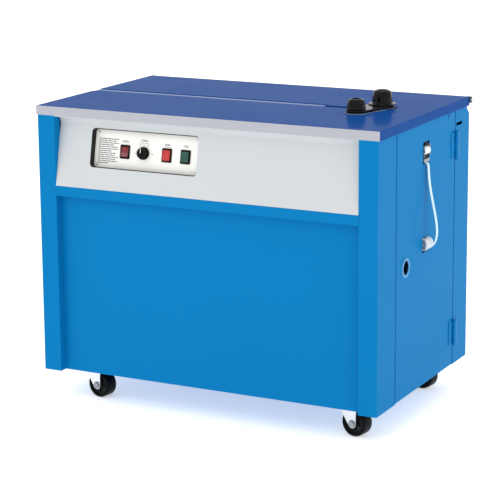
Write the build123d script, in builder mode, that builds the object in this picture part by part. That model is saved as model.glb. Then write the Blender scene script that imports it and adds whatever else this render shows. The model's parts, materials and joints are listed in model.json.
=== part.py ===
"""Semi automatic strapping machine, high table type.

Frame: X runs along the table's length with the strap guide at +X, Y runs from the
operator's side (-Y) to the rear (+Y), Z is up. The origin is on the floor under the
middle of the table. All lengths are millimetres, all angles degrees.
"""
from build123d import *
import os
from math import cos, radians, sin, sqrt, tan

os.makedirs("parts", exist_ok=True)

# ---------------------------------------------------------------- driving dimensions
TABLE_LENGTH = 895
TABLE_WIDTH = 565
TABLE_HEIGHT = 730
TABLE_DEPTH = 22          # height of the table's folded skirt
SIDE_OVERHANG = 3.5
REAR_OVERHANG = 5
BODY_BOTTOM = 74
SHEET = 2                 # casing sheet
TRIM = 1.5                # front trim strip
FIT = 0.05                # radial clearance of a pin in its hole
GAP = 1.6                 # gap round a moving cover
LID_GAP = 0.8             # gap between the strap channel and the lid

COLUMN_WIDTH = 47
CORNER_CUT = 20           # rear top edge of the casing
RAIL_BOTTOM = 513
RAIL_TOP = 538
PANEL_SETBACK = 22
COLUMN_RETURN = PANEL_SETBACK + SHEET

CONSOLE_TILT = 11.3
COVE_RADIUS = 18
RECESS_LENGTH = 290
RECESS_HEIGHT = 94
RECESS_DEPTH = 18
RECESS_X = -162
RECESS_UP = 99            # centre of the recess along the console's slope

DOOR_FRONT = -173.2
DOOR_REAR = 182.4
LATCH_Y = -121
LATCH_Z = 387
ROLLER_UP_Z = 641
ROLLER_LOW_Z = 419

SLOT_FRONT = -24
SLOT_REAR = 14.5
SLOT_START = 183          # the open part of the strap slot, along X

CASTOR_X = 344
CASTOR_Y = 205
CASTOR_TRAIL = 20
CASTOR_YAW = -11
WHEEL_RADIUS = 32.5
WHEEL_WIDTH = 34

REEL_X = 110
REEL_Z = 306
COIL_RADIUS = 200
COIL_BORE = 100
COIL_WIDTH = 180

# ---------------------------------------------------------------- worked out from them
TABLE_X = TABLE_LENGTH / 2
FRONT = -TABLE_WIDTH / 2
REAR = TABLE_WIDTH / 2
BODY_X = TABLE_X - SIDE_OVERHANG
BODY_REAR = REAR - REAR_OVERHANG
BODY_TOP = TABLE_HEIGHT - TABLE_DEPTH
COLUMN_X = BODY_X - COLUMN_WIDTH
PANEL_Y = FRONT + PANEL_SETBACK
SLOPE = Plane(
    origin=(0, FRONT, RAIL_TOP),
    x_dir=(1, 0, 0),
    z_dir=(0, -cos(radians(CONSOLE_TILT)), sin(radians(CONSOLE_TILT))),
)
PLATE = SLOPE.offset(-RECESS_DEPTH + TRIM)   # front face of the control plate


def write(piece, name):
    """Label a finished piece and write it as its own STEP file."""
    piece.part.label = name
    export_step(piece.part, f"parts/{name}.step")


def slab(x, y, z, mode=Mode.ADD):
    """Add or cut a box given by its low and high value along each axis."""
    with Locations(((x[0] + x[1]) / 2, (y[0] + y[1]) / 2, (z[0] + z[1]) / 2)):
        Box(x[1] - x[0], y[1] - y[0], z[1] - z[0], mode=mode)


# ================================================================ casing
# Rear skin of the casing in side view: upright, then sloped inwards at the top.
REAR_SKIN = [
    (BODY_REAR, BODY_BOTTOM),
    (BODY_REAR, BODY_TOP - CORNER_CUT),
    (BODY_REAR - CORNER_CUT, BODY_TOP),
    (BODY_REAR - CORNER_CUT - SHEET * sqrt(2), BODY_TOP),
    (BODY_REAR - SHEET, BODY_TOP - CORNER_CUT - SHEET * (sqrt(2) - 1)),
    (BODY_REAR - SHEET, BODY_BOTTOM),
]


def side_outline(front, rear):
    """Side view of a side sheet from front to rear, with the rear top corner cut off."""
    outline = [(front, BODY_BOTTOM), (rear, BODY_BOTTOM)]
    if rear == BODY_REAR:
        outline += [(rear, BODY_TOP - CORNER_CUT), (rear - CORNER_CUT, BODY_TOP)]
    else:
        outline += [(rear, BODY_TOP)]
    return outline + [(front, BODY_TOP)]


with BuildPart() as base_frame:
    inner_x = BODY_X - SHEET
    slab((-inner_x, inner_x - 20), (PANEL_Y + SHEET, BODY_REAR - SHEET), (BODY_BOTTOM, BODY_BOTTOM + 30))
    slab(
        (-inner_x + 3, inner_x - 23),
        (PANEL_Y + SHEET + 3, BODY_REAR - SHEET - 3),
        (BODY_BOTTOM + 3, BODY_BOTTOM + 30),
        Mode.SUBTRACT,
    )
    with Locations((0, 0, BODY_BOTTOM + 3)):
        with GridLocations(2 * CASTOR_X, 2 * CASTOR_Y, 2, 2):
            with GridLocations(60, 44, 2, 2):
                Hole(4.25, depth=10)
write(base_frame, "base_frame")

with BuildPart() as left_side_panel:
    with BuildSketch(Plane.YZ.offset(-BODY_X)):
        Polygon(*side_outline(FRONT, BODY_REAR))
    extrude(amount=SHEET)
    slab((-BODY_X, -COLUMN_X), (FRONT, FRONT + SHEET), (BODY_BOTTOM, BODY_TOP))
    slab((-COLUMN_X - SHEET, -COLUMN_X), (FRONT, FRONT + COLUMN_RETURN), (BODY_BOTTOM, BODY_TOP))
    with BuildSketch(Plane.YZ.offset(-BODY_X)):
        Polygon(*REAR_SKIN)
    extrude(amount=COLUMN_WIDTH)
    corners = left_side_panel.edges().filter_by(Axis.Z).filter_by_position(Axis.Y, FRONT, FRONT)
    fillet(corners, 1.8)
write(left_side_panel, "left_side_panel")

with BuildPart() as right_front_column:
    slab((COLUMN_X, BODY_X), (FRONT, FRONT + SHEET), (BODY_BOTTOM, BODY_TOP))
    slab((COLUMN_X, COLUMN_X + SHEET), (FRONT, FRONT + COLUMN_RETURN), (BODY_BOTTOM, BODY_TOP))
    slab((BODY_X - SHEET, BODY_X), (FRONT, DOOR_FRONT - GAP), (BODY_BOTTOM, BODY_TOP))
    slab((BODY_X - 22, BODY_X), (DOOR_FRONT - GAP - SHEET, DOOR_FRONT - GAP), (BODY_BOTTOM, BODY_TOP))
    corners = right_front_column.edges().filter_by(Axis.Z).filter_by_position(Axis.Y, FRONT, FRONT)
    fillet(corners, 1.8)
write(right_front_column, "right_front_column")

with BuildPart() as right_rear_column:
    with BuildSketch(Plane.YZ.offset(BODY_X - SHEET)):
        Polygon(*side_outline(DOOR_REAR + GAP, BODY_REAR))
    extrude(amount=SHEET)
    slab((BODY_X - 22, BODY_X), (DOOR_REAR + GAP, DOOR_REAR + GAP + SHEET), (BODY_BOTTOM, BODY_TOP))
    with BuildSketch(Plane.YZ.offset(COLUMN_X)):
        Polygon(*REAR_SKIN)
    extrude(amount=COLUMN_WIDTH)
    with BuildSketch(Plane.YZ.offset(BODY_X - SHEET)):
        with Locations((211, 673)):
            SlotOverall(40, 8)
    extrude(amount=SHEET, mode=Mode.SUBTRACT)
write(right_rear_column, "right_rear_column")

with BuildPart() as front_header_rail:
    slab((-COLUMN_X, COLUMN_X), (FRONT, FRONT + COLUMN_RETURN), (RAIL_BOTTOM, RAIL_TOP))
    slab(
        (-COLUMN_X, COLUMN_X),
        (FRONT + SHEET, FRONT + COLUMN_RETURN),
        (RAIL_BOTTOM + SHEET, RAIL_TOP - SHEET),
        Mode.SUBTRACT,
    )
    nose = front_header_rail.edges().filter_by(Axis.X).filter_by_position(Axis.Y, FRONT, FRONT)
    fillet(nose, 1.5)
write(front_header_rail, "front_header_rail")

with BuildPart() as front_panel:
    slab((-COLUMN_X, COLUMN_X), (PANEL_Y, PANEL_Y + SHEET), (BODY_BOTTOM, RAIL_BOTTOM))
write(front_panel, "front_panel")

LOUVRE_COUNT = 9
LOUVRE_PITCH = 16
with BuildPart() as rear_panel:
    with BuildSketch(Plane.YZ.offset(-COLUMN_X)):
        Polygon(*REAR_SKIN)
    extrude(amount=2 * COLUMN_X)
    with Locations(Plane((0, BODY_REAR, 0), z_dir=(0, 1, 0), x_dir=(-1, 0, 0))):
        with Locations((0, 600, 0)):
            with GridLocations(240, LOUVRE_PITCH, 2, LOUVRE_COUNT):
                Box(180, 5, 6 * SHEET, mode=Mode.SUBTRACT)
        with Locations((300, 180, 0)):
            Hole(8, depth=2 * SHEET)
write(rear_panel, "rear_panel")

with BuildPart() as console_panel:
    tilt = radians(CONSOLE_TILT)
    cove_z = BODY_TOP - SHEET - COVE_RADIUS
    slope_top_z = cove_z - COVE_RADIUS * sin(tilt)
    slope_top_y = FRONT + (slope_top_z - RAIL_TOP) * tan(tilt)
    cove_y = slope_top_y - COVE_RADIUS * cos(tilt)
    with BuildSketch(Plane.YZ.offset(-COLUMN_X)):
        with BuildLine():
            Line((FRONT, RAIL_TOP), (slope_top_y, slope_top_z))
            front_cove = CenterArc((cove_y, cove_z), COVE_RADIUS, -CONSOLE_TILT, 90 + CONSOLE_TILT)
            back_cove = CenterArc((cove_y, cove_z), COVE_RADIUS + SHEET, -CONSOLE_TILT, 90 + CONSOLE_TILT)
            lip = [(FRONT + TRIM, BODY_TOP - SHEET), (FRONT + TRIM, BODY_TOP)]
            Polyline(front_cove @ 1, *lip, back_cove @ 1)
            Polyline(back_cove @ 0, (FRONT + SHEET / cos(tilt), RAIL_TOP), (FRONT, RAIL_TOP))
        make_face()
    extrude(amount=2 * COLUMN_X)
    with BuildSketch(SLOPE):
        with Locations((RECESS_X, RECESS_UP)):
            RectangleRounded(RECESS_LENGTH, RECESS_HEIGHT, 10)
    extrude(amount=3 * SHEET, both=True, mode=Mode.SUBTRACT)
write(console_panel, "console_panel")

# ================================================================ controls
SWITCH_X = [-222, -108.5, -58.5]      # power, reset, feed
KNOB_X = -171
SWITCH_UP = 95                        # along the console's slope
FRAME_W = 25
FRAME_H = 32
FRAME_RIM = 3
WINDOW_W = 20.6
WINDOW_H = 27.2
SWITCH_BODY_DEPTH = 16

with BuildPart() as control_box:
    with BuildSketch(SLOPE):
        with Locations((RECESS_X, RECESS_UP)):
            RectangleRounded(RECESS_LENGTH, RECESS_HEIGHT, 10)
    extrude(amount=-(RECESS_DEPTH + SHEET))
    with BuildSketch(SLOPE):
        with Locations((RECESS_X, RECESS_UP)):
            RectangleRounded(RECESS_LENGTH - 2 * SHEET, RECESS_HEIGHT - 2 * SHEET, 8)
    extrude(amount=-RECESS_DEPTH, mode=Mode.SUBTRACT)
    with BuildSketch(SLOPE):
        with Locations(*[(x, SWITCH_UP) for x in SWITCH_X]):
            Rectangle(FRAME_W - 2, FRAME_H - 2)
        with Locations((KNOB_X, SWITCH_UP)):
            Circle(5)
    extrude(amount=-2 * RECESS_DEPTH, mode=Mode.SUBTRACT)
write(control_box, "control_box")

with BuildPart() as control_plate:
    with BuildSketch(PLATE):
        with Locations((RECESS_X, RECESS_UP)):
            RectangleRounded(RECESS_LENGTH - 2 * SHEET, RECESS_HEIGHT - 2 * SHEET, 8)
        with Locations(*[(x, SWITCH_UP) for x in SWITCH_X]):
            Rectangle(FRAME_W - 2, FRAME_H - 2, mode=Mode.SUBTRACT)
        with Locations((KNOB_X, SWITCH_UP)):
            Circle(5, mode=Mode.SUBTRACT)
    extrude(amount=-TRIM)
write(control_plate, "control_plate")

TRUNNION_RADIUS = 2
TRUNNION_HALF = 11.1      # the rocker's trunnions snap into both walls of its frame
ROCKER_SIDE = Plane(
    PLATE.from_local_coords((SWITCH_X[0], SWITCH_UP, 0)), x_dir=PLATE.y_dir, z_dir=PLATE.x_dir
)

# Identical snap-in housings, each with a rim on the plate and a cup behind it.
with BuildPart() as switch_frames:
    with BuildSketch(PLATE):
        with Locations(*[(x, SWITCH_UP) for x in SWITCH_X]):
            RectangleRounded(FRAME_W, FRAME_H, 2)
    extrude(amount=FRAME_RIM)
    with BuildSketch(PLATE):
        with Locations(*[(x, SWITCH_UP) for x in SWITCH_X]):
            Rectangle(FRAME_W - 2, FRAME_H - 2)
    extrude(amount=-SWITCH_BODY_DEPTH)
    with BuildSketch(PLATE.offset(FRAME_RIM)):
        with Locations(*[(x, SWITCH_UP) for x in SWITCH_X]):
            Rectangle(WINDOW_W, WINDOW_H)
    extrude(amount=-(FRAME_RIM + 8), mode=Mode.SUBTRACT)
    with BuildSketch(ROCKER_SIDE):
        Circle(TRUNNION_RADIUS + FIT)
    extrude(amount=TRUNNION_HALF + FIT, both=True, mode=Mode.SUBTRACT)
write(switch_frames, "switch_frames")

ROCKER_W = 19.6
ROCKER_H = 23.6
ROCKER_LOW = 2.4          # height of the pressed end over the plate
ROCKER_HIGH = 6.2
with BuildPart() as power_rocker:
    with BuildSketch(ROCKER_SIDE.offset(-ROCKER_W / 2)):
        half = ROCKER_H / 2
        with BuildLine():
            Polyline((-half, ROCKER_HIGH), (-half, -4), (half, -4), (half, ROCKER_LOW))
            ThreePointArc((half, ROCKER_LOW), (0, (ROCKER_LOW + ROCKER_HIGH) / 2 - 1.2), (-half, ROCKER_HIGH))
        make_face()
    extrude(amount=ROCKER_W)
    with BuildSketch(ROCKER_SIDE):
        Circle(TRUNNION_RADIUS)
    extrude(amount=TRUNNION_HALF, both=True)
write(power_rocker, "power_rocker")


def push_button(x):
    """A momentary button with a domed cap, in the switch frame centred on x."""
    with BuildPart() as button:
        with BuildSketch(PLATE.offset(-3)):
            with Locations((x, SWITCH_UP)):
                RectangleRounded(ROCKER_W, ROCKER_H + 2, 1.5)
        extrude(amount=9)
        cap = button.faces().sort_by(SortBy.DISTANCE).sort_by(Axis.Y)[0]
        fillet(cap.edges(), 1.4)
    return button


reset_button = push_button(SWITCH_X[1])
write(reset_button, "reset_button")
feed_button = push_button(SWITCH_X[2])
write(feed_button, "feed_button")

KNOB_RADIUS = 15.5
KNOB_HEIGHT = 17
with BuildPart() as control_knob:
    with BuildSketch(PLATE.offset(1)):
        with Locations((KNOB_X, SWITCH_UP)):
            Circle(KNOB_RADIUS)
    extrude(amount=5)
    with BuildSketch(PLATE.offset(6)):
        with Locations((KNOB_X, SWITCH_UP)):
            Circle(KNOB_RADIUS - 2.5)
    extrude(amount=KNOB_HEIGHT - 8, taper=4)
    with BuildSketch(PLATE.offset(KNOB_HEIGHT - 3)):
        with Locations((KNOB_X, SWITCH_UP)):
            RectangleRounded(6, 2 * KNOB_RADIUS - 6, 2.5)
    extrude(amount=4)
    with BuildSketch(PLATE.offset(1)):
        with Locations((KNOB_X, SWITCH_UP)):
            Circle(3)
    extrude(amount=-18)
write(control_knob, "control_knob")

# ================================================================ table
SEAM_FRONT = -5.4
SEAM_REAR = -4.5
SEAM_START = 330          # under the guide, where the slot narrows to the seam
FRONT_OUTLINE = [
    (-TABLE_X, FRONT + TRIM),
    (TABLE_X, FRONT + TRIM),
    (TABLE_X, SEAM_FRONT),
    (SEAM_START, SEAM_FRONT),
    (SEAM_START, -15),
    (SLOT_START, -15),
    (SLOT_START, SLOT_FRONT),
    (-TABLE_X, SLOT_FRONT),
]
HINGE_RADIUS = 6
HINGE_Y = REAR - HINGE_RADIUS
HINGE_Z = TABLE_HEIGHT - HINGE_RADIUS - 1
LID_REAR = HINGE_Y - HINGE_RADIUS - 1.5
LID_OUTLINE = [
    (-TABLE_X, SLOT_REAR),
    (SLOT_START, SLOT_REAR),
    (SLOT_START, 5),
    (SEAM_START, 5),
    (SEAM_START, SEAM_REAR),
    (TABLE_X, SEAM_REAR),
    (TABLE_X, LID_REAR),
    (-TABLE_X, LID_REAR),
]

# The package guide's plates wrap round a post at each end. The lid's notch clears the rear
# post's flange too, so that the lid can swing up past it.
POST_SPOTS = [(298, -73), (320, 28)]
BASE_RADII = (24, 28)
WEAR_RADII = (25.5, 29.5)
NOTCH_RADII = (27, 35)
GUIDE_FLANGE = 33


def guide_outline(radii, grow=0):
    """Plan of a plate of the guide: a disc round each post and their common tangents."""
    with BuildSketch(mode=Mode.PRIVATE) as outline:
        for spot, radius in zip(POST_SPOTS, radii):
            with Locations(spot):
                Circle(radius + grow)
        make_hull()
    return outline.sketch


def folded_top(outline, lift, notched=False):
    """A table panel: a sheet with a folded skirt all round, open underneath."""
    with BuildPart() as panel:
        for grow, height in ((0, TABLE_DEPTH - lift), (SHEET, TABLE_DEPTH - lift - SHEET)):
            with BuildSketch(Plane.XY.offset(BODY_TOP + lift)):
                Polygon(*outline)
                if grow:
                    offset(amount=-grow, kind=Kind.INTERSECTION, mode=Mode.REPLACE)
                if notched:
                    add(guide_outline(NOTCH_RADII, grow), mode=Mode.SUBTRACT)
            extrude(amount=height, mode=Mode.SUBTRACT if grow else Mode.ADD)
        # the two panels meet square along the seam
        rim = panel.faces().sort_by(Axis.Z)[-1].edges()
        seam = rim.filter_by_position(Axis.Y, SEAM_FRONT, SEAM_REAR).filter_by(Axis.X)
        fillet([edge for edge in rim if edge not in seam], 1.2)
    return panel


front_table = folded_top(FRONT_OUTLINE, 0)
write(front_table, "front_table")
rear_lid = folded_top(LID_OUTLINE, 0.5, notched=True)
write(rear_lid, "rear_lid")

with BuildPart() as table_front_trim:
    slab((-TABLE_X, TABLE_X), (FRONT, FRONT + TRIM), (BODY_TOP, TABLE_HEIGHT - 0.4))
write(table_front_trim, "table_front_trim")

COVER_TOP = TABLE_HEIGHT - 1.5
with BuildPart() as strap_channel:
    channel_z = (BODY_TOP, COVER_TOP - SHEET)
    slab((-TABLE_X + 1, SLOT_START - 1), (SLOT_FRONT + 0.5, SLOT_REAR - LID_GAP), channel_z)
    slab(
        (-TABLE_X + 1, SLOT_START - 1),
        (SLOT_FRONT + 2.5, SLOT_REAR - LID_GAP - 2),
        (BODY_TOP + 2, COVER_TOP),
        Mode.SUBTRACT,
    )
write(strap_channel, "strap_channel")

with BuildPart() as strap_channel_cover:
    slab(
        (-TABLE_X + 1, SLOT_START - 1),
        (SLOT_FRONT + 0.5, SLOT_REAR - LID_GAP),
        (COVER_TOP - SHEET, COVER_TOP),
    )
    fillet(strap_channel_cover.edges().filter_by(Axis.X).group_by(Axis.Z)[-1], 0.6)
write(strap_channel_cover, "strap_channel_cover")

# Continuous hinge of the rear lid: knuckles turn and turn about on one long pin.
KNUCKLES = 9
KNUCKLE_PITCH = (TABLE_LENGTH - 20) / KNUCKLES
PIN_RADIUS = 3
MOVING_LEAF = [(LID_REAR + 0.6, HINGE_Z), (1.2, 14)]              # centre and size in side view
MOVING_WEB = [(LID_REAR + 2, HINGE_Z), (3, 2.5)]
FIXED_LEAF = [(BODY_REAR + 1, BODY_TOP - 22), (2, 56)]
FIXED_WEB = [(BODY_REAR + 1, HINGE_Z - 6), (2, 8)]


def lid_hinge_half(first, leaf, web):
    """One half of the lid's hinge: every second knuckle from first, with webs on a long leaf."""
    with BuildPart() as half_hinge:
        for number in range(first, KNUCKLES, 2):
            with BuildSketch(Plane.YZ.offset((number + 0.5 - KNUCKLES / 2) * KNUCKLE_PITCH)):
                with Locations((HINGE_Y, HINGE_Z)):
                    Circle(HINGE_RADIUS)
                with Locations(web[0]):
                    Rectangle(*web[1])
                with Locations((HINGE_Y, HINGE_Z)):
                    Circle(PIN_RADIUS + FIT, mode=Mode.SUBTRACT)
            extrude(amount=KNUCKLE_PITCH / 2 - 0.4, both=True)
        with BuildSketch(Plane.YZ):
            with Locations(leaf[0]):
                Rectangle(*leaf[1])
        extrude(amount=TABLE_X - 10, both=True)
    return half_hinge


lid_hinge_moving_leaf = lid_hinge_half(1, MOVING_LEAF, MOVING_WEB)
write(lid_hinge_moving_leaf, "lid_hinge_moving_leaf")
lid_hinge_fixed_leaf = lid_hinge_half(0, FIXED_LEAF, FIXED_WEB)
write(lid_hinge_fixed_leaf, "lid_hinge_fixed_leaf")

# ================================================================ package guide
WEAR = 2
FRAME_TOP = 686           # top of the drive's frame, which carries the wear plate's foot
BASE_TOP = TABLE_HEIGHT + 8
POST_BORE = 4.5
POST_HEIGHTS = [26, 34]
SINK = 9                  # depth of a post's sunk top

with BuildPart() as guide_wear_plate:
    with BuildSketch(Plane.XY.offset(TABLE_HEIGHT)):
        add(guide_outline(WEAR_RADII))
    extrude(amount=WEAR)
    slab((296, 344), (12, 50), (FRAME_TOP, TABLE_HEIGHT))
    with Locations(*[(x, y, TABLE_HEIGHT + WEAR) for x, y in POST_SPOTS]):
        Hole(POST_BORE, depth=60)
write(guide_wear_plate, "guide_wear_plate")

with BuildPart() as guide_base:
    with BuildSketch(Plane.XY.offset(TABLE_HEIGHT + WEAR)):
        add(guide_outline(BASE_RADII))
    extrude(amount=BASE_TOP - TABLE_HEIGHT - WEAR)
    fillet(guide_base.faces().sort_by(Axis.Z)[-1].edges(), 2)
    with Locations(*[(x, y, BASE_TOP) for x, y in POST_SPOTS]):
        Hole(POST_BORE, depth=20)
write(guide_base, "guide_base")


def guide_post(spot, height, foot_radius, top_radius, flange_radius):
    """A turned post: flange, slightly tapered body, rounded shoulder, sunk top with a bolt hole."""
    with BuildPart() as post:
        with BuildSketch(Plane.XZ.offset(-spot[1])):
            with BuildLine():
                Polyline(
                    (spot[0] + POST_BORE, BASE_TOP),
                    (spot[0] + flange_radius, BASE_TOP),
                    (spot[0] + flange_radius, BASE_TOP + 3),
                    (spot[0] + foot_radius, BASE_TOP + 5),
                    (spot[0] + top_radius, BASE_TOP + height - 4),
                    (spot[0] + top_radius - 3, BASE_TOP + height),
                    (spot[0] + 13, BASE_TOP + height),
                    (spot[0] + 12, BASE_TOP + height - SINK),
                    (spot[0] + POST_BORE, BASE_TOP + height - SINK),
                    close=True,
                )
            make_face()
        revolve(axis=Axis((spot[0], spot[1], 0), (0, 0, 1)))
    return post


front_guide_post = guide_post(POST_SPOTS[0], POST_HEIGHTS[0], 22, 20.5, 22.6)
write(front_guide_post, "front_guide_post")
rear_guide_post = guide_post(POST_SPOTS[1], POST_HEIGHTS[1], 24, 21.5, GUIDE_FLANGE)
write(rear_guide_post, "rear_guide_post")

with BuildPart() as guide_screws:
    for (x, y), height in zip(POST_SPOTS, POST_HEIGHTS):
        head_z = BASE_TOP + height - SINK
        with BuildSketch(Plane.XY.offset(head_z)):
            with Locations((x, y)):
                Circle(6.5)
                RegularPolygon(3.4, 6, mode=Mode.SUBTRACT)
        extrude(amount=6)
        with BuildSketch(Plane.XY.offset(head_z)):
            with Locations((x, y)):
                Circle(6.5)
        extrude(amount=2)
        with BuildSketch(Plane.XY.offset(head_z)):
            with Locations((x, y)):
                Circle(POST_BORE - FIT)
        extrude(amount=-(head_z - TABLE_HEIGHT))
write(guide_screws, "guide_screws")

# ================================================================ side door
DOOR_TOP = BODY_TOP - 1
DOOR_BOTTOM = BODY_BOTTOM + 2
WINDOW_HALF = 19.5
WINDOWS = [(399, 435), (611, 663)]     # height span of each roller's window
ROLLER_HALF = 15
CHEEK_IN = 16.5
CHEEK_OUT = 18.5
UPPER_ROLLER_X = 440
UPPER_ROLLER_RADIUS = 9.6
LOWER_ROLLER_X = 444.5
LOWER_FLANGE_RADIUS = 14.5
LOWER_BARREL_RADIUS = 11.5
ROLLER_PIN = 3
DOOR_HINGE_X = BODY_X + 5
DOOR_HINGE_Y = (DOOR_REAR + DOOR_REAR + GAP) / 2
DOOR_HINGE_Z = [(128, 187), (592, 656)]

with BuildPart() as side_door:
    slab((BODY_X - 18, BODY_X), (DOOR_FRONT, DOOR_REAR), (DOOR_BOTTOM, DOOR_TOP))
    slab(
        (BODY_X - 18, BODY_X - SHEET),
        (DOOR_FRONT + SHEET, DOOR_REAR - SHEET),
        (DOOR_BOTTOM + SHEET, DOOR_TOP - SHEET),
        Mode.SUBTRACT,
    )
    fillet(side_door.edges().filter_by(Axis.Z).filter_by_position(Axis.X, BODY_X, BODY_X), 1.2)
    for low, high in WINDOWS:
        with BuildSketch(Plane.YZ.offset(BODY_X - SHEET)):
            with Locations((0, (low + high) / 2)):
                RectangleRounded(2 * WINDOW_HALF, high - low, 2)
        extrude(amount=SHEET, mode=Mode.SUBTRACT)
    with BuildSketch(Plane.YZ.offset(BODY_X - SHEET)):
        with Locations((LATCH_Y, LATCH_Z)):
            Circle(19)
    extrude(amount=SHEET, mode=Mode.SUBTRACT)
write(side_door, "side_door")


def door_hinge_half(moving):
    """Both hinges' leaves on one side, the moving ones with the middle knuckle of three."""
    with BuildPart() as leaves:
        for low, high in DOOR_HINGE_Z:
            third = (high - low) / 3
            if moving:
                side, spans = -1, [(low + third + 0.3, high - third - 0.3)]
            else:
                side, spans = 1, [(low, low + third), (high - third, high)]
            for span in spans:
                with BuildSketch(Plane.XY.offset(span[0])):
                    with Locations((DOOR_HINGE_X, DOOR_HINGE_Y)):
                        Circle(5)
                    with Locations((BODY_X + 1, DOOR_HINGE_Y + side * 4)):
                        Rectangle(2, 8)
                    with Locations((DOOR_HINGE_X, DOOR_HINGE_Y)):
                        Circle(PIN_RADIUS + FIT, mode=Mode.SUBTRACT)
                extrude(amount=span[1] - span[0])
            leaf_y = sorted((DOOR_HINGE_Y + side * 6, DOOR_HINGE_Y + side * 26))
            slab((BODY_X, BODY_X + SHEET), leaf_y, (low, high))
    return leaves


door_hinge_moving_leaves = door_hinge_half(True)
write(door_hinge_moving_leaves, "door_hinge_moving_leaves")
door_hinge_fixed_leaves = door_hinge_half(False)
write(door_hinge_fixed_leaves, "door_hinge_fixed_leaves")

# The pins of the lid's hinge and of the two door hinges.
with BuildPart() as hinge_pins:
    with BuildSketch(Plane.YZ):
        with Locations((HINGE_Y, HINGE_Z)):
            Circle(PIN_RADIUS)
    extrude(amount=TABLE_X - 9, both=True)
    for low, high in DOOR_HINGE_Z:
        with BuildSketch(Plane.XY.offset(low - 1)):
            with Locations((DOOR_HINGE_X, DOOR_HINGE_Y)):
                Circle(PIN_RADIUS)
        extrude(amount=high - low + 2)
        for z in (low - 2.5, high):
            with BuildSketch(Plane.XY.offset(z)):
                with Locations((DOOR_HINGE_X, DOOR_HINGE_Y)):
                    Circle(PIN_RADIUS + 1)
            extrude(amount=2.5)
write(hinge_pins, "hinge_pins")

# A finger ring with a closed cup behind it, in the door's round hole.
CUP_RADIUS = 15.5
CUP_DEPTH = 20
with BuildPart() as door_latch:
    with BuildSketch(Plane.YZ.offset(BODY_X)):
        with Locations((LATCH_Y, LATCH_Z)):
            Circle(23.5)
    extrude(amount=3)
    rim = door_latch.faces().sort_by(Axis.X)[-1].edges()
    fillet(rim, 2)
    with BuildSketch(Plane.YZ.offset(BODY_X)):
        with Locations((LATCH_Y, LATCH_Z)):
            Circle(18.9)
    extrude(amount=-CUP_DEPTH)
    with BuildSketch(Plane.YZ.offset(BODY_X + 3)):
        with Locations((LATCH_Y, LATCH_Z)):
            Circle(CUP_RADIUS)
    extrude(amount=-(CUP_DEPTH + 1), mode=Mode.SUBTRACT)
write(door_latch, "door_latch")

with BuildPart() as roller_bracket:
    slab((415, 417), (-CHEEK_OUT, CHEEK_OUT), (396, 661))
    for side in (-1, 1):
        cheek = sorted((side * CHEEK_IN, side * CHEEK_OUT))
        slab((415, 440), cheek, (396, 661))
        slab((430, 447), cheek, (628, 654))
        slab((430, 451), cheek, (408, 430))
        tab = sorted((side * CHEEK_IN, side * 45))
        slab((440, BODY_X - SHEET), tab, (460, 580))
    slab((432, 446), (-CHEEK_OUT, CHEEK_OUT), (620, 622))
    slab((444, 446), (-CHEEK_IN, CHEEK_IN), (614.5, 622))
    for x, z in ((UPPER_ROLLER_X, ROLLER_UP_Z), (LOWER_ROLLER_X, ROLLER_LOW_Z)):
        with BuildSketch(Plane.XZ):
            with Locations((x, z)):
                Circle(ROLLER_PIN + FIT)
        extrude(amount=2 * CHEEK_OUT, both=True, mode=Mode.SUBTRACT)
    slab((412, 418), (-8, 8), (401, 412), Mode.SUBTRACT)
    slab((412, 418), (-8, 8), (630, 652), Mode.SUBTRACT)
write(roller_bracket, "roller_bracket")

with BuildPart() as roller_pins:
    for x, z in ((UPPER_ROLLER_X, ROLLER_UP_Z), (LOWER_ROLLER_X, ROLLER_LOW_Z)):
        with BuildSketch(Plane.XZ):
            with Locations((x, z)):
                Circle(ROLLER_PIN)
        extrude(amount=CHEEK_OUT + 0.6, both=True)
write(roller_pins, "roller_pins")

with BuildPart() as upper_roller:
    with BuildSketch(Plane.XZ):
        with Locations((UPPER_ROLLER_X, ROLLER_UP_Z)):
            Circle(UPPER_ROLLER_RADIUS)
            Circle(ROLLER_PIN + FIT, mode=Mode.SUBTRACT)
    extrude(amount=ROLLER_HALF, both=True)
    fillet(upper_roller.edges().filter_by(GeomType.CIRCLE).sort_by(SortBy.RADIUS)[-2:], 1)
write(upper_roller, "upper_roller")

with BuildPart() as lower_roller:
    with BuildSketch(Plane.XZ):
        with Locations((LOWER_ROLLER_X, ROLLER_LOW_Z)):
            Circle(LOWER_BARREL_RADIUS)
    extrude(amount=ROLLER_HALF, both=True)
    for y in (-ROLLER_HALF, ROLLER_HALF - 4):
        with BuildSketch(Plane.XZ.offset(-y - 4)):
            with Locations((LOWER_ROLLER_X, ROLLER_LOW_Z)):
                Circle(LOWER_FLANGE_RADIUS)
        extrude(amount=4)
    with BuildSketch(Plane.XZ):
        with Locations((LOWER_ROLLER_X, ROLLER_LOW_Z)):
            Circle(ROLLER_PIN + FIT)
    extrude(amount=2 * ROLLER_HALF, both=True, mode=Mode.SUBTRACT)
    fillet(lower_roller.edges().filter_by(GeomType.CIRCLE).group_by(SortBy.RADIUS)[-1], 1)
write(lower_roller, "lower_roller")

# The strap: under the lower roller, out in a bow, and in under the tongue of the bracket.
STRAP_WIDTH = 12
STRAP_THICK = 0.8
STRAP_ROUTE = [
    (424, 409),
    (436, 406.9),
    (448.5, 406.2),
    (460.5, 412),
    (469.5, 424.5),
    (473.2, 441),
    (473.2, 458),
    (470.5, 479),
    (465.5, 503),
    (459.6, 530),
    (454.6, 556),
    (451.6, 580),
    (450.4, 598),
    (449.2, 610.3),
    (441, 614.6),
    (430, 617.5),
]


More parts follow.
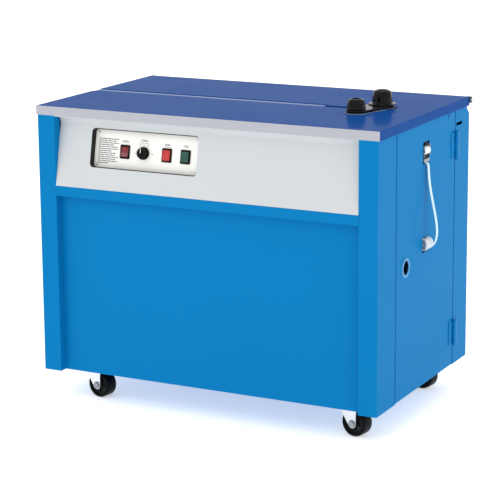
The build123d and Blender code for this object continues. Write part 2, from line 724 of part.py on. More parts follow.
def bend_radii(route):
    """The arc at each corner of a route: 0.45 of its shorter run sets how far it reaches."""
    spots = [Vector(*point) for point in route]
    radii = []
    for before, corner, after in zip(spots, spots[1:], spots[2:]):
        run_in, run_out = corner - before, after - corner
        half_turn = radians(run_in.get_angle(run_out) / 2)
        radii.append(0.45 * min(run_in.length, run_out.length) / tan(half_turn))
    return radii


with BuildPart() as strap:
    strap_radii = bend_radii(STRAP_ROUTE)
    with BuildLine(Plane.XZ) as strap_line:
        FilletPolyline(*STRAP_ROUTE, radius=strap_radii)
    strap_path = strap_line.wires()[0]
    with BuildSketch(Plane(strap_path @ 0, x_dir=(0, 1, 0), z_dir=strap_path % 0)):
        Rectangle(STRAP_WIDTH, STRAP_THICK)
    sweep(path=strap_path)
write(strap, "strap")
print("strap bend radii", [round(radius, 1) for radius in strap_radii])
print("strap length", round(strap_path.length, 1), "volume", round(strap.part.volume, 1))

# ================================================================ castors
CASTOR_NAMES = ["front_left", "front_right", "rear_left", "rear_right"]
CASTOR_SPOTS = [
    (-CASTOR_X, -CASTOR_Y),
    (CASTOR_X, -CASTOR_Y),
    (-CASTOR_X, CASTOR_Y),
    (CASTOR_X, CASTOR_Y),
]
KING_PIN = 5
CROWN_TOP = 69.5
CROWN_BOTTOM = 66
PLATE_THICKNESS = 3
AXLE_RADIUS = 4
LEG_GAP = WHEEL_WIDTH / 2 + 2

with BuildPart() as castor_plates:
    for spot in CASTOR_SPOTS:
        with BuildSketch(Plane.XY.offset(BODY_BOTTOM)):
            with Locations(spot):
                RectangleRounded(84, 64, 6)
                with GridLocations(60, 44, 2, 2):
                    Circle(4.25, mode=Mode.SUBTRACT)
        extrude(amount=-PLATE_THICKNESS)
        plate_z = BODY_BOTTOM - PLATE_THICKNESS
        for radius, low, high in ((22, CROWN_TOP + 0.5, plate_z), (KING_PIN, 65, plate_z), (8, 64.2, 65.6)):
            with BuildSketch(Plane.XY.offset(low)):
                with Locations(spot):
                    Circle(radius)
            extrude(amount=high - low)
write(castor_plates, "castor_plates")


def castor_plane(spot):
    """Plane of one castor on the floor: X along its trail, origin on its swivel axis."""
    yaw = radians(CASTOR_YAW)
    return Plane(origin=(spot[0], spot[1], 0), x_dir=(cos(yaw), sin(yaw), 0), z_dir=(0, 0, 1))


def castor_fork(spot):
    """Pressed fork: round crown on the king pin and two tapered legs down to the axle."""
    base = castor_plane(spot)
    side = Plane(origin=base.origin, x_dir=base.x_dir, z_dir=-base.y_dir)
    with BuildPart() as fork:
        with BuildSketch(base.offset(CROWN_BOTTOM)):
            Circle(20)
            with Locations((10, 0)):
                Rectangle(44, 2 * LEG_GAP + 5)
            Circle(KING_PIN + FIT, mode=Mode.SUBTRACT)
        extrude(amount=CROWN_TOP - CROWN_BOTTOM)
        for shift in (-LEG_GAP - 2.5, LEG_GAP):
            with BuildSketch(side.offset(-shift)):
                with Locations((10, CROWN_TOP - 5)):
                    Rectangle(42, 8)
                with Locations((CASTOR_TRAIL, WHEEL_RADIUS)):
                    Circle(10.5)
                make_hull()
                with Locations((CASTOR_TRAIL, WHEEL_RADIUS)):
                    Circle(AXLE_RADIUS + FIT, mode=Mode.SUBTRACT)
            extrude(amount=-2.5)
        # the axle bolt, with its head and nut just clear of the legs, is a solid of its own
        with BuildSketch(side):
            with Locations((CASTOR_TRAIL, WHEEL_RADIUS)):
                Circle(AXLE_RADIUS)
        extrude(amount=LEG_GAP + 6, both=True)
        for shift in (-LEG_GAP - 6.5 - FIT, LEG_GAP + 2.5 + FIT):
            with BuildSketch(side.offset(-shift)):
                with Locations((CASTOR_TRAIL, WHEEL_RADIUS)):
                    RegularPolygon(7.5, 6)
            extrude(amount=-4)
    return fork


def castor_wheel(spot):
    """Solid wheel with a crowned tread, a sunk web and a hub on the axle."""
    base = castor_plane(spot)
    centre = base.from_local_coords((CASTOR_TRAIL, 0, WHEEL_RADIUS))
    half = WHEEL_WIDTH / 2
    with BuildPart() as wheel:
        with BuildSketch(Plane(origin=centre, x_dir=base.x_dir, z_dir=-base.y_dir)):
            Circle(WHEEL_RADIUS)
            Circle(AXLE_RADIUS + FIT, mode=Mode.SUBTRACT)
        extrude(amount=half, both=True)
        for side in (1, -1):
            with BuildSketch(Plane(origin=centre, x_dir=base.x_dir, z_dir=-base.y_dir).offset(side * half)):
                Circle(WHEEL_RADIUS - 8)
                Circle(11, mode=Mode.SUBTRACT)
            extrude(amount=-side * 5, mode=Mode.SUBTRACT)
        rims = wheel.edges().filter_by(GeomType.CIRCLE).group_by(SortBy.RADIUS)[-1]
        fillet(rims, 4)
    return wheel


for castor_name, castor_spot in zip(CASTOR_NAMES, CASTOR_SPOTS):
    write(castor_fork(castor_spot), f"castor_fork_{castor_name}")
    write(castor_wheel(castor_spot), f"castor_wheel_{castor_name}")

# ================================================================ strap reel
SHAFT_RADIUS = 10
STAND_Y = (122, 130)
REEL_FLANGE = 205
REEL_HALF = COIL_WIDTH / 2

# The stand with the shaft, its collar and its end stop welded on.
with BuildPart() as reel_stand:
    slab((REEL_X - 40, REEL_X + 40), STAND_Y, (BODY_BOTTOM + 6, REEL_Z + 40))
    slab((REEL_X - 60, REEL_X + 60), (STAND_Y[0], STAND_Y[1] + 60), (BODY_BOTTOM + 3, BODY_BOTTOM + 9))
    for near, far, radius in (
        (-122, STAND_Y[1] + 14, SHAFT_RADIUS),
        (106, STAND_Y[0], 18),
        (-118, -104, 17),
        (STAND_Y[1], STAND_Y[1] + 10, 17),
    ):
        with BuildSketch(Plane.XZ.offset(-far)):
            with Locations((REEL_X, REEL_Z)):
                Circle(radius)
        extrude(amount=far - near)
write(reel_stand, "reel_stand")


def reel_flange(inside_y, outward, hub):
    """A spoked reel flange; the hub reaches into the coil's bore."""
    with BuildPart() as flange:
        with BuildSketch(Plane.XZ.offset(-inside_y)):
            with Locations((REEL_X, REEL_Z)):
                Circle(REEL_FLANGE)
                with PolarLocations(135, 6):
                    Circle(48, mode=Mode.SUBTRACT)
        extrude(amount=-outward * 4)
        with BuildSketch(Plane.XZ.offset(-inside_y)):
            with Locations((REEL_X, REEL_Z)):
                Circle(COIL_BORE - 1)
                Circle(COIL_BORE - 6, mode=Mode.SUBTRACT)
        extrude(amount=outward * hub)
        with BuildSketch(Plane.XZ.offset(-inside_y)):
            with Locations((REEL_X, REEL_Z)):
                Circle(22)
        extrude(amount=-outward * 10)
        with BuildSketch(Plane.XZ):
            with Locations((REEL_X, REEL_Z)):
                Circle(SHAFT_RADIUS + 2 * FIT)
        extrude(amount=300, both=True, mode=Mode.SUBTRACT)
    return flange


reel_inner_flange = reel_flange(REEL_HALF, 1, 120)
write(reel_inner_flange, "reel_inner_flange")
reel_outer_flange = reel_flange(-REEL_HALF, -1, 55)
write(reel_outer_flange, "reel_outer_flange")

with BuildPart() as strap_coil:
    with BuildSketch(Plane.XZ.offset(-REEL_HALF)):
        with Locations((REEL_X, REEL_Z)):
            Circle(COIL_RADIUS)
            Circle(COIL_BORE, mode=Mode.SUBTRACT)
    extrude(amount=COIL_WIDTH)
write(strap_coil, "strap_coil")

# ================================================================ drive under the slot
SHELF_Z = 540
CAM_X = 225
CAM_Z = 618
MOTOR_X = -70
MOTOR_Z = 612
PULLEY_Y = (-76, -56)
MOTOR_PULLEY_RADIUS = 24
CAM_PULLEY_RADIUS = 56
CHEEK_Y = (-50, 46)
CAM_SHAFT_RADIUS = 10

with BuildPart() as inner_shelf:
    slab((-BODY_X + SHEET, COLUMN_X - 2), (-215, BODY_REAR - SHEET), (SHELF_Z - 3, SHELF_Z))
    with BuildSketch(Plane.XY.offset(SHELF_Z)):
        with Locations((330, 0)):
            RectangleRounded(70, 60, 6)
    extrude(amount=-3, mode=Mode.SUBTRACT)
write(inner_shelf, "inner_shelf")

with BuildPart() as mechanism_frame:
    slab((140, 320), (CHEEK_Y[0] - 8, CHEEK_Y[1] + 8), (SHELF_Z, SHELF_Z + 6))
    for low, high in ((CHEEK_Y[0] - 4, CHEEK_Y[0]), (CHEEK_Y[1], CHEEK_Y[1] + 4)):
        slab((145, 315), (low, high), (SHELF_Z, FRAME_TOP))
    for x in (155, 305):
        slab((x - 6, x + 6), (CHEEK_Y[0], CHEEK_Y[1]), (560, 572))
    slab((188, 192), CHEEK_Y, (650, 690))
    slab((246, 250), CHEEK_Y, (650, 690))
    with BuildSketch(Plane.XZ):
        with Locations((CAM_X, CAM_Z)):
            Circle(CAM_SHAFT_RADIUS + FIT)
    extrude(amount=80, both=True, mode=Mode.SUBTRACT)
write(mechanism_frame, "mechanism_frame")

with BuildPart() as camshaft:
    with BuildSketch(Plane.XZ.offset(-58)):
        with Locations((CAM_X, CAM_Z)):
            Circle(CAM_SHAFT_RADIUS)
    extrude(amount=58 + 80)
    for i, y in enumerate((-38, -16, 8, 30)):
        with BuildSketch(Plane.XZ.offset(-y)):
            with Locations((CAM_X + 5 * cos(1.5 * i), CAM_Z + 5 * sin(1.5 * i))):
                Circle(21)
        extrude(amount=9)
    with BuildSketch(Plane.XZ.offset(-PULLEY_Y[1])):
        with Locations((CAM_X, CAM_Z)):
            Circle(CAM_PULLEY_RADIUS)
    extrude(amount=PULLEY_Y[1] - PULLEY_Y[0])
write(camshaft, "camshaft")

with BuildPart() as drive_motor:
    with BuildSketch(Plane.XZ.offset(-120)):
        with Locations((MOTOR_X, MOTOR_Z)):
            Circle(52)
    extrude(amount=150)
    slab((MOTOR_X - 45, MOTOR_X + 45), (-20, 110), (SHELF_Z, SHELF_Z + 24))
    with BuildSketch(Plane.XZ.offset(30)):
        with Locations((MOTOR_X, MOTOR_Z)):
            Circle(26)
    extrude(amount=8)
write(drive_motor, "drive_motor")

with BuildPart() as motor_pulley:
    with BuildSketch(Plane.XZ.offset(-PULLEY_Y[1])):
        with Locations((MOTOR_X, MOTOR_Z)):
            Circle(MOTOR_PULLEY_RADIUS)
    extrude(amount=PULLEY_Y[1] - PULLEY_Y[0])
    with BuildSketch(Plane.XZ.offset(38.4)):
        with Locations((MOTOR_X, MOTOR_Z)):
            Circle(9)
    extrude(amount=20)
write(motor_pulley, "motor_pulley")

BELT_CLEAR = 0.4
BELT_THICK = 4
with BuildPart() as drive_belt:
    middle_y = (PULLEY_Y[0] + PULLEY_Y[1]) / 2
    with BuildSketch(Plane.XZ.offset(-middle_y - 6)):
        for grow, mode in ((BELT_CLEAR + BELT_THICK, Mode.ADD), (BELT_CLEAR, Mode.SUBTRACT)):
            with BuildSketch(mode=Mode.PRIVATE) as loop:
                with Locations((MOTOR_X, MOTOR_Z)):
                    Circle(MOTOR_PULLEY_RADIUS + grow)
                with Locations((CAM_X, CAM_Z)):
                    Circle(CAM_PULLEY_RADIUS + grow)
                make_hull()
            add(loop.sketch, mode=mode)
    extrude(amount=12)
write(drive_belt, "drive_belt")

with BuildPart() as press_block:
    slab((194, 244), (-14, 4), (652, 700))
    slab((200, 238), (-10, 0), (700, 712))
write(press_block, "press_block")

with BuildPart() as heater_blade:
    slab((200, 238), (12, 44), (702, 704))
    slab((192.4, 245.6), (16, 40), (690, 702))
write(heater_blade, "heater_blade")

# ================================================================ electrics
with BuildPart() as circuit_board:
    with BuildSketch(PLATE.offset(-38)):
        with Locations((RECESS_X, RECESS_UP)):
            Rectangle(300, 110)
    extrude(amount=-2)
    with BuildSketch(PLATE.offset(-40)):
        with Locations((RECESS_X - 90, RECESS_UP), (RECESS_X, RECESS_UP + 10), (RECESS_X + 80, RECESS_UP)):
            Rectangle(40, 50)
    extrude(amount=-24)
    with BuildSketch(PLATE.offset(TRIM - SHEET - 3)):
        with Locations((RECESS_X, RECESS_UP)):
            with GridLocations(260, 70, 2, 2):
                Circle(3)
    extrude(amount=-35)
write(circuit_board, "circuit_board")

with BuildPart() as cable_gland:
    with BuildSketch(Plane.XZ.offset(-BODY_REAR)):
        with Locations((-300, 180)):
            RegularPolygon(12, 6)
    extrude(amount=-4.5)
    with BuildSketch(Plane.XZ.offset(-BODY_REAR)):
        with Locations((-300, 180)):
            Circle(7.9)
    extrude(amount=16)
    with BuildSketch(Plane.XZ.offset(-BODY_REAR + 30)):
        with Locations((-300, 180)):
            Circle(4.5)
    extrude(amount=-60, mode=Mode.SUBTRACT)
write(cable_gland, "cable_gland")
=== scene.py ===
"""Looks of the semi automatic strapping machine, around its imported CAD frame.

Everything is in metres in the row frame: +X towards the strap rollers, +Y to the rear,
+Z up, origin on the floor under the middle of the table.
"""
import json
from math import cos, pi, radians, sin, tau

import bmesh
import bpy
from mathutils import Matrix, Vector


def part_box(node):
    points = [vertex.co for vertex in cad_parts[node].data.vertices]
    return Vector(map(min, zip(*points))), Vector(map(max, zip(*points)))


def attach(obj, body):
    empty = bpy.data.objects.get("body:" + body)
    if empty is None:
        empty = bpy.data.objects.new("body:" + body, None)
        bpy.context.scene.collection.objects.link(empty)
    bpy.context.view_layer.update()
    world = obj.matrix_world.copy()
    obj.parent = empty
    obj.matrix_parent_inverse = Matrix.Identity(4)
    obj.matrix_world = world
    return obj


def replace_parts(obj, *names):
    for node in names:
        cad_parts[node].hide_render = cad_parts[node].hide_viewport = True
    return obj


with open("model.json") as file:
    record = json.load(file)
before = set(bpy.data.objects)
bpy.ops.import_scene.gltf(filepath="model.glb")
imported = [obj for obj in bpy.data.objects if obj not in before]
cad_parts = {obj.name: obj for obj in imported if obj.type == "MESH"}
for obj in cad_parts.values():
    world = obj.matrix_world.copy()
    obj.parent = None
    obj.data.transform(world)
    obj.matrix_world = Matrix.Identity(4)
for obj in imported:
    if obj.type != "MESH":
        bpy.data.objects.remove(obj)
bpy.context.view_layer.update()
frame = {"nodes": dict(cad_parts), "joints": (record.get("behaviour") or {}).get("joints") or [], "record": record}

NODES = frame["nodes"]
JOINTS = {joint["name"]: joint for joint in frame["joints"]}
CASTORS = ["front_left", "front_right", "rear_left", "rear_right"]
BODY_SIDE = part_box("side_door")[1].x  # outer face of the side door
TABLE_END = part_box("front_table")[1].x
PLATE_UP = Vector(JOINTS["control_knob_turn"]["axis"])  # outward normal of the control plate
SWITCHES = {"power_rocker": 0, "reset_button": 0.1135, "feed_button": 0.1635}  # X from the power switch
RIGHT, REAR, UP = (1, 0, 0), (0, 1, 0), (0, 0, 1)
WEAR_WIDTH = 0.0012  # how far paint wears from a corner
WHEEL_RADIUS, WHEEL_HALF = 0.0325, 0.017
RACE_HEIGHT = 0.0697  # between a castor's plate and fork
CASTOR_PLATE_UNDERSIDE = 0.071
ROLLER_HALF = 0.015
HOOD_COLUMN, HOOD_PITCH, LOUVRE_MIDDLE = 0.12, 0.016, 0.6  # the rear panel's slots
PHOTO_WIDTH, FOCAL_LENGTH = 500, 1921  # in the photo's pixels


# ---------------- materials
def srgb(red, green, blue):
    """A colour given in 0-255 display values, as linear RGBA."""
    def linear(value):
        value /= 255
        return value / 12.92 if value <= 0.04045 else ((value + 0.055) / 1.055) ** 2.4
    return (linear(red), linear(green), linear(blue), 1)


class Finish:
    """One procedural material: a Principled shader with helpers that add variation, bump and wear."""

    def __init__(self, name, colour, roughness, **sockets):
        self.material = bpy.data.materials.new(name)
        self.material.use_nodes = True
        self.tree = self.material.node_tree
        self.shader = self.tree.nodes["Principled BSDF"]
        self.colour = colour
        self.shader.inputs["Base Color"].default_value = colour
        self.shader.inputs["Roughness"].default_value = roughness
        for socket, value in sockets.items():
            self.shader.inputs[socket.replace("_", " ")].default_value = value
        self.coordinates = self.add("ShaderNodeTexCoord")
        self.bumps = None

    def add(self, kind, sockets=None, **properties):
        """A new node with its properties and its sockets' values set."""
        node = self.tree.nodes.new(kind)
        for key, value in properties.items():
            setattr(node, key, value)
        for key, value in (sockets or {}).items():
            node.inputs[key].default_value = value
        return node

    def link(self, source, target):
        self.tree.links.new(source, target)

    def noise(self, scale, detail=3, stretch=(1, 1, 1), roughness=0.5):
        """Noise in object space, optionally stretched along an axis."""
        mapping = self.add("ShaderNodeMapping", {"Scale": stretch})
        self.link(self.coordinates.outputs["Object"], mapping.inputs["Vector"])
        values = {"Scale": scale, "Detail": detail, "Roughness": roughness}
        texture = self.add("ShaderNodeTexNoise", values)
        self.link(mapping.outputs["Vector"], texture.inputs["Vector"])
        return texture.outputs["Fac"]

    def distance(self, axis, level):
        """Distance from a plane at level along an object-space axis."""
        split = self.add("ShaderNodeSeparateXYZ")
        self.link(self.coordinates.outputs["Object"], split.inputs[0])
        minus = self.add("ShaderNodeMath", {1: level}, operation="SUBTRACT")
        self.link(split.outputs[axis], minus.inputs[0])
        size = self.add("ShaderNodeMath", operation="ABSOLUTE")
        self.link(minus.outputs[0], size.inputs[0])
        return size.outputs[0]

    def ramp(self, source, low, high, low_value=0.0, high_value=1.0):
        """Maps source from low..high to low_value..high_value, held at the ends."""
        node = self.add("ShaderNodeMapRange", {
            "From Min": low, "From Max": high, "To Min": low_value, "To Max": high_value})
        self.link(source, node.inputs["Value"])
        return node.outputs["Result"]

    def times(self, first, second):
        node = self.add("ShaderNodeMath", operation="MULTIPLY")
        self.link(first, node.inputs[0])
        self.link(second, node.inputs[1])
        return node.outputs[0]

    def edges(self):
        """Close to a corner: where a bevelled normal leaves the face's own."""
        bevel = self.add("ShaderNodeBevel", {"Radius": WEAR_WIDTH}, samples=4)
        geometry = self.add("ShaderNodeNewGeometry")
        facing = self.add("ShaderNodeVectorMath", operation="DOT_PRODUCT")
        self.link(bevel.outputs["Normal"], facing.inputs[0])
        self.link(geometry.outputs["Normal"], facing.inputs[1])
        return self.ramp(facing.outputs["Value"], 0.99, 0.8)

    def tint(self, factor, colour):
        """Mixes colour over what the base colour has so far, by factor."""
        mix = self.add("ShaderNodeMix", data_type="RGBA")
        base = self.shader.inputs["Base Color"]
        if base.is_linked:
            self.link(base.links[0].from_socket, mix.inputs["A"])
        else:
            mix.inputs["A"].default_value = self.colour
        mix.inputs["B"].default_value = colour
        self.link(factor, mix.inputs["Factor"])
        self.link(mix.outputs["Result"], base)
        return self

    def rough(self, source, low, high):
        """Drives roughness between low and high."""
        self.link(self.ramp(source, 0.3, 0.7, low, high), self.shader.inputs["Roughness"])
        return self

    def bump(self, source, distance, strength=1.0):
        """Adds a bump of that height in metres to those already there."""
        node = self.add("ShaderNodeBump", {"Strength": strength, "Distance": distance})
        self.link(source, node.inputs["Height"])
        if self.bumps:
            self.link(self.bumps, node.inputs["Normal"])
        self.bumps = node.outputs["Normal"]
        self.link(self.bumps, self.shader.inputs["Normal"])
        return self


def painted(name, colour, darker, paler, roughness, gloss=0.1, coat=0.0, peel=0.00001):
    """Powder coat or enamel: slow colour drift, orange peel, faint rubbed spots and worn corners."""
    colour, darker, paler = srgb(*colour), srgb(*darker), srgb(*paler)
    finish = Finish(name, colour, roughness,
                    Coat_Weight=coat, Coat_Roughness=0.06, Specular_IOR_Level=gloss)
    finish.tint(finish.ramp(finish.noise(2.2, 1), 0.3, 0.7, 0, 0.35), darker)
    finish.tint(finish.ramp(finish.noise(60, 5, roughness=0.7), 0.6, 0.85, 0, 0.07), paler)
    corners = finish.edges()
    finish.tint(finish.times(corners, finish.ramp(finish.noise(55, 4), 0.42, 0.62, 0, 0.28)), paler)
    finish.rough(finish.noise(9, 4), roughness * 0.92, roughness * 1.12)
    finish.bump(finish.noise(420, 2), peel)
    return finish.material


def moulded(name, colour, paler, roughness, grain=0.00003, gloss=0.5):
    """Moulded plastic: fine grain, slightly uneven sheen and polished rims."""
    paler = srgb(*paler)
    finish = Finish(name, srgb(*colour), roughness, Specular_IOR_Level=gloss)
    finish.tint(finish.ramp(finish.noise(60, 5), 0.5, 0.85, 0, 0.35), paler)
    finish.tint(finish.times(finish.edges(), finish.ramp(finish.noise(90, 3), 0.4, 0.6, 0, 0.4)), paler)
    finish.rough(finish.noise(25, 3), roughness * 0.8, roughness * 1.25)
    finish.bump(finish.noise(1600, 2), grain)
    return finish.material


def dimmed(colour, share):
    """A linear colour with that share of its light."""
    return [c * share for c in colour[:3]] + [1]


def steel(name, colour, roughness, dull=0.6):
    """Bare or plated steel with fine scratches and dull patches."""
    finish = Finish(name, colour, roughness, Metallic=1.0)
    finish.tint(finish.ramp(finish.noise(14, 5), 0.45, 0.75, 0, 0.45), dimmed(colour, dull))
    finish.tint(finish.ramp(finish.noise(5, 3), 0.5, 0.8, 0, 0.25), srgb(206, 200, 176))
    finish.rough(finish.noise(30, 5), roughness * 0.7, roughness * 1.5)
    finish.bump(finish.noise(700, 3), 0.000015)
    return finish.material


def rubber(name, colour, dusty, roughness=0.6, gloss=0.5):
    """Rubber with dust in its grain."""
    finish = Finish(name, colour, roughness, Specular_IOR_Level=gloss)
    finish.tint(finish.ramp(finish.noise(45, 6, roughness=0.7), 0.5, 0.8, 0, 0.5), dusty)
    finish.bump(finish.noise(900, 3), 0.00005)
    return finish.material


def strap_material(name, colour):
    """Polypropylene band: a little shine, an embossed diamond grid, faint milky streaks."""
    finish = Finish(name, colour, 0.32, Subsurface_Weight=0.15, Subsurface_Scale=0.002)
    finish.tint(finish.ramp(finish.noise(60, 4, (4, 4, 0.4)), 0.45, 0.75, 0, 0.5), dimmed(colour, 0.82))
    grid = []
    for direction in ((1, 1, 1), (1, -1, 1)):
        wave = finish.add("ShaderNodeTexWave", {"Scale": 190},
                          wave_type="BANDS", bands_direction="DIAGONAL")
        mapping = finish.add("ShaderNodeMapping", {"Scale": direction})
        finish.link(finish.coordinates.outputs["Object"], mapping.inputs["Vector"])
        finish.link(mapping.outputs["Vector"], wave.inputs["Vector"])
        grid.append(wave.outputs["Fac"])
    finish.bump(finish.times(*grid), 0.00008, 0.6)
    return finish.material


def cover_material(name):
    """Strip over the strap channel: table enamel at its sides, with a pale middle band that is partly bare steel
    and partly a painted sheen of steel seen at a grazing angle.
    """
    finish = Finish(name, srgb(20, 72, 142), 0.3,
                    Coat_Weight=0.1, Coat_Roughness=0.06, Specular_IOR_Level=0.002)
    # Pale middle band: partly bare steel, partly a painted sheen of the steel at a grazing angle.
    finish.tint(finish.ramp(finish.distance("Y", 0.003), 0.0085, 0.0065), srgb(138, 150, 186))
    finish.tint(finish.ramp(finish.noise(26, 5, (0.1, 1, 1)), 0.4, 0.8, 0, 0.3), srgb(112, 126, 168))
    finish.bump(finish.noise(500, 3, (0.06, 1, 1)), 0.00001)
    return finish.material


def box_material(name):
    """Black control box whose right end wall, flush with the console, has the console's colour."""
    finish = Finish(name, srgb(8, 8, 10), 0.34, Specular_IOR_Level=0.14)
    finish.tint(finish.ramp(finish.noise(60, 5), 0.5, 0.85, 0, 0.35), srgb(32, 32, 36))
    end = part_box("control_box")[1].x
    finish.tint(finish.ramp(finish.distance("X", end), 0.0045, 0.0035), srgb(199, 203, 205))
    finish.bump(finish.noise(1600, 2), 0.00003)
    return finish.material


def board_material(name):
    """Circuit board: green lacquer over copper tracks that run along and across it."""
    finish = Finish(name, srgb(24, 84, 48), 0.3)
    for stretch in ((30, 1, 1), (1, 1, 30)):
        tracks = finish.ramp(finish.noise(9, 0, stretch), 0.56, 0.58)
        finish.tint(finish.ramp(tracks, 0, 1, 0, 0.5), srgb(70, 140, 80))
        finish.bump(tracks, 0.00004)
    return finish.material


# Colour, darker and paler shade, roughness, then gloss, coat and peel where they are special.
PAINTS = {
    "casing_blue": ((8, 119, 180), (6, 114, 174), (70, 158, 208), 0.3, 0.01, 0.035),
    "table_blue": ((20, 72, 142), (18, 68, 136), (60, 106, 170), 0.3, 0.002, 0.085, 0.000004),
    "console_grey": ((199, 203, 205), (195, 199, 201), (216, 219, 220), 0.42),
    "trim_grey": ((174, 175, 183), (168, 169, 178), (196, 197, 203), 0.38),
    "plate_cream": ((250, 250, 245), (244, 244, 238), (252, 252, 250), 0.4),
    "black_steel": ((14, 14, 16), (10, 10, 12), (52, 52, 56), 0.36, 0.16),
    "hinge_blue": ((8, 118, 182), (6, 106, 168), (48, 144, 202), 0.32, 0.06, 0.04),
    "motor_grey": ((92, 98, 104), (78, 84, 90), (130, 134, 138), 0.5, 0.3, 0, 0.00006),
    # Darker blue for painted shadow lines beside the door's upright edges.
    "painted_shadow_blue": ((4, 92, 158), (4, 84, 150), (30, 120, 180), 0.4, 0.02, 0.02),
    # The latch ring's paler blue is a painted highlight on its rolled rim.
    "latch_highlight_blue": ((84, 150, 202), (76, 142, 194), (130, 182, 220), 0.3, 0.1),
}
# Colour, paler shade, roughness, then grain and gloss where they are special.
MOULDINGS = {
    "cup_navy": ((2, 14, 36), (10, 36, 70), 0.4, 0.00003, 0.2),
    "black_plastic": ((8, 8, 10), (32, 32, 36), 0.32, 0.00003, 0.14),
    "black_gloss": ((3, 4, 5), (20, 22, 26), 0.15, 0.000002, 0.17),
    "red_dark": ((116, 18, 26), (150, 46, 56), 0.24, 0.00001),
    "red_bright": ((186, 40, 44), (218, 84, 84), 0.24, 0.00001),
    "green_dark": ((24, 76, 66), (60, 112, 98), 0.22, 0.00001),
    "white_nylon": ((240, 243, 243), (248, 250, 250), 0.36, 0.00002),
    "cap_grey": ((50, 54, 64), (86, 92, 104), 0.36, 0.00003, 0.15),
    "hub_grey": ((30, 31, 34), (62, 64, 68), 0.42, 0.00003, 0.2),
    "print_grey": ((122, 124, 128), (148, 150, 152), 0.5, 0.000004),
    "print_red": ((190, 84, 84), (206, 120, 120), 0.5, 0.000004),
    "print_white": ((226, 226, 224), (244, 244, 242), 0.5, 0.000004),
    "card_brown": ((168, 132, 92), (194, 162, 122), 0.8, 0.00006, 0.2),
    "part_amber": ((196, 152, 40), (220, 186, 84), 0.34),
}
MATERIAL = {name: painted(name, *row) for name, row in PAINTS.items()}
MATERIAL.update({name: moulded(name, *row) for name, row in MOULDINGS.items()})
MATERIAL.update({
    "board_green": board_material("board_green"),
    "channel_cover": cover_material("channel_cover"),
    "control_box": box_material("control_box"),
    "bright_steel": steel("bright_steel", srgb(226, 227, 229), 0.34, dull=0.82),
    "zinc_grey": steel("zinc_grey", srgb(156, 162, 168), 0.42, dull=0.8),
    "copper": steel("copper", srgb(196, 120, 72), 0.34),
    "wheel_black": rubber("wheel_black", srgb(3, 3, 4), srgb(24, 23, 22), 0.34, 0.09),
    "belt_black": rubber("belt_black", srgb(18, 18, 18), srgb(60, 60, 60)),
    "strap_white": strap_material("strap_white", srgb(196, 228, 238)),
})


# ---------------- mesh helpers
def piece(name, mesh, body, slot, material=None, smooth=40):
    """Makes an object of a bmesh, shades it, gives it a finish and puts it on a body."""
    bmesh.ops.recalc_face_normals(mesh, faces=mesh.faces)
    data = bpy.data.meshes.new(name)
    mesh.to_mesh(data)
    mesh.free()
    made = bpy.data.objects.new(name, data)
    bpy.context.scene.collection.objects.link(made)
    data.materials.append(MATERIAL[material or slot])
    data.polygons.foreach_set("use_smooth", [True] * len(data.polygons))
    data.set_sharp_from_angle(angle=radians(smooth))
    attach(made, body)
    return made


def basis(centre, axis, along):
    """Frame at centre whose Z is axis and whose X is near along."""
    z = Vector(axis).normalized()
    x = Vector(along)
    x = (x - x.dot(z) * z).normalized()
    rotation = Matrix((x, z.cross(x), z)).transposed().to_4x4()
    return Matrix.Translation(centre) @ rotation


def facing_up(*spot):
    return basis(spot, UP, RIGHT)


def facing_rear(*spot):
    return basis(spot, REAR, RIGHT)


def facing_right(*spot):
    return basis(spot, RIGHT, REAR)


def joint_place(name, along):
    """Frame on a joint's axis, with Z along it."""
    return basis(JOINTS[name]["pos_m"], JOINTS[name]["axis"], along)


def shifted(place, x=0.0, y=0.0, z=0.0):
    """The same frame moved along its own axes."""
    return place @ Matrix.Translation((x, y, z))


def lathe(mesh, profile, place, steps=64):
    """Turns a closed profile of (radius, height) about place's Z axis."""
    rings = []
    for number in range(steps):
        angle = tau * number / steps
        spots = [place @ Vector((r * cos(angle), r * sin(angle), h)) for r, h in profile]
        rings.append([mesh.verts.new(spot) for spot in spots])
    for number in range(steps):
        here, there = rings[number], rings[(number + 1) % steps]
        for i in range(len(profile)):
            j = (i + 1) % len(profile)
            on_axis = [profile[k][0] < 1e-7 for k in (i, j)]
            if all(on_axis):
                continue
            corners = [here[i], there[i], there[j], here[j]]
            if on_axis[0]:
                corners.pop(1)
            elif on_axis[1]:
                corners.pop(2)
            mesh.faces.new(corners)
    bmesh.ops.remove_doubles(mesh, verts=mesh.verts, dist=1e-7)


def lathed(name, profile, place, steps, body, slot, material=None, smooth=40):
    """A piece made of one turned profile."""
    mesh = bmesh.new()
    lathe(mesh, profile, place, steps)
    return piece(name, mesh, body, slot, material, smooth)


def waved_ring(place, lobes, fine, height, radius_at):
    """Ring of points whose radius follows lobes waves, with fine points to each."""
    ring = []
    for number in range(lobes * fine):
        angle = tau * number / (lobes * fine)
        radius = radius_at(cos(lobes * angle))
        ring.append(place @ Vector((radius * cos(angle), radius * sin(angle), height)))
    return ring


def arc(centre, radius, start, stop, steps):
    """Points of an arc in the (radius, height) plane, angles in degrees."""
    spots = [radians(start + (stop - start) * i / steps) for i in range(steps + 1)]
    return [(centre[0] + radius * cos(a), centre[1] + radius * sin(a)) for a in spots]


def loft(mesh, rings, closed=False):
    """Joins closed rings of points in turn, and caps both ends or joins those too."""
    levels = [[mesh.verts.new(point) for point in ring] for ring in rings]
    for here, there in zip(levels, levels[1:] + levels[:1] * closed):
        for i in range(len(here)):
            j = (i + 1) % len(here)
            mesh.faces.new((here[i], here[j], there[j], there[i]))
    if not closed:
        mesh.faces.new(levels[0][::-1])
        mesh.faces.new(levels[-1])


def prism(mesh, outline, place, low, high):
    """Extrudes a closed outline in place's XY plane from low to high."""
    loft(mesh, [[place @ Vector((x, y, z)) for x, y in outline] for z in (low, high)])


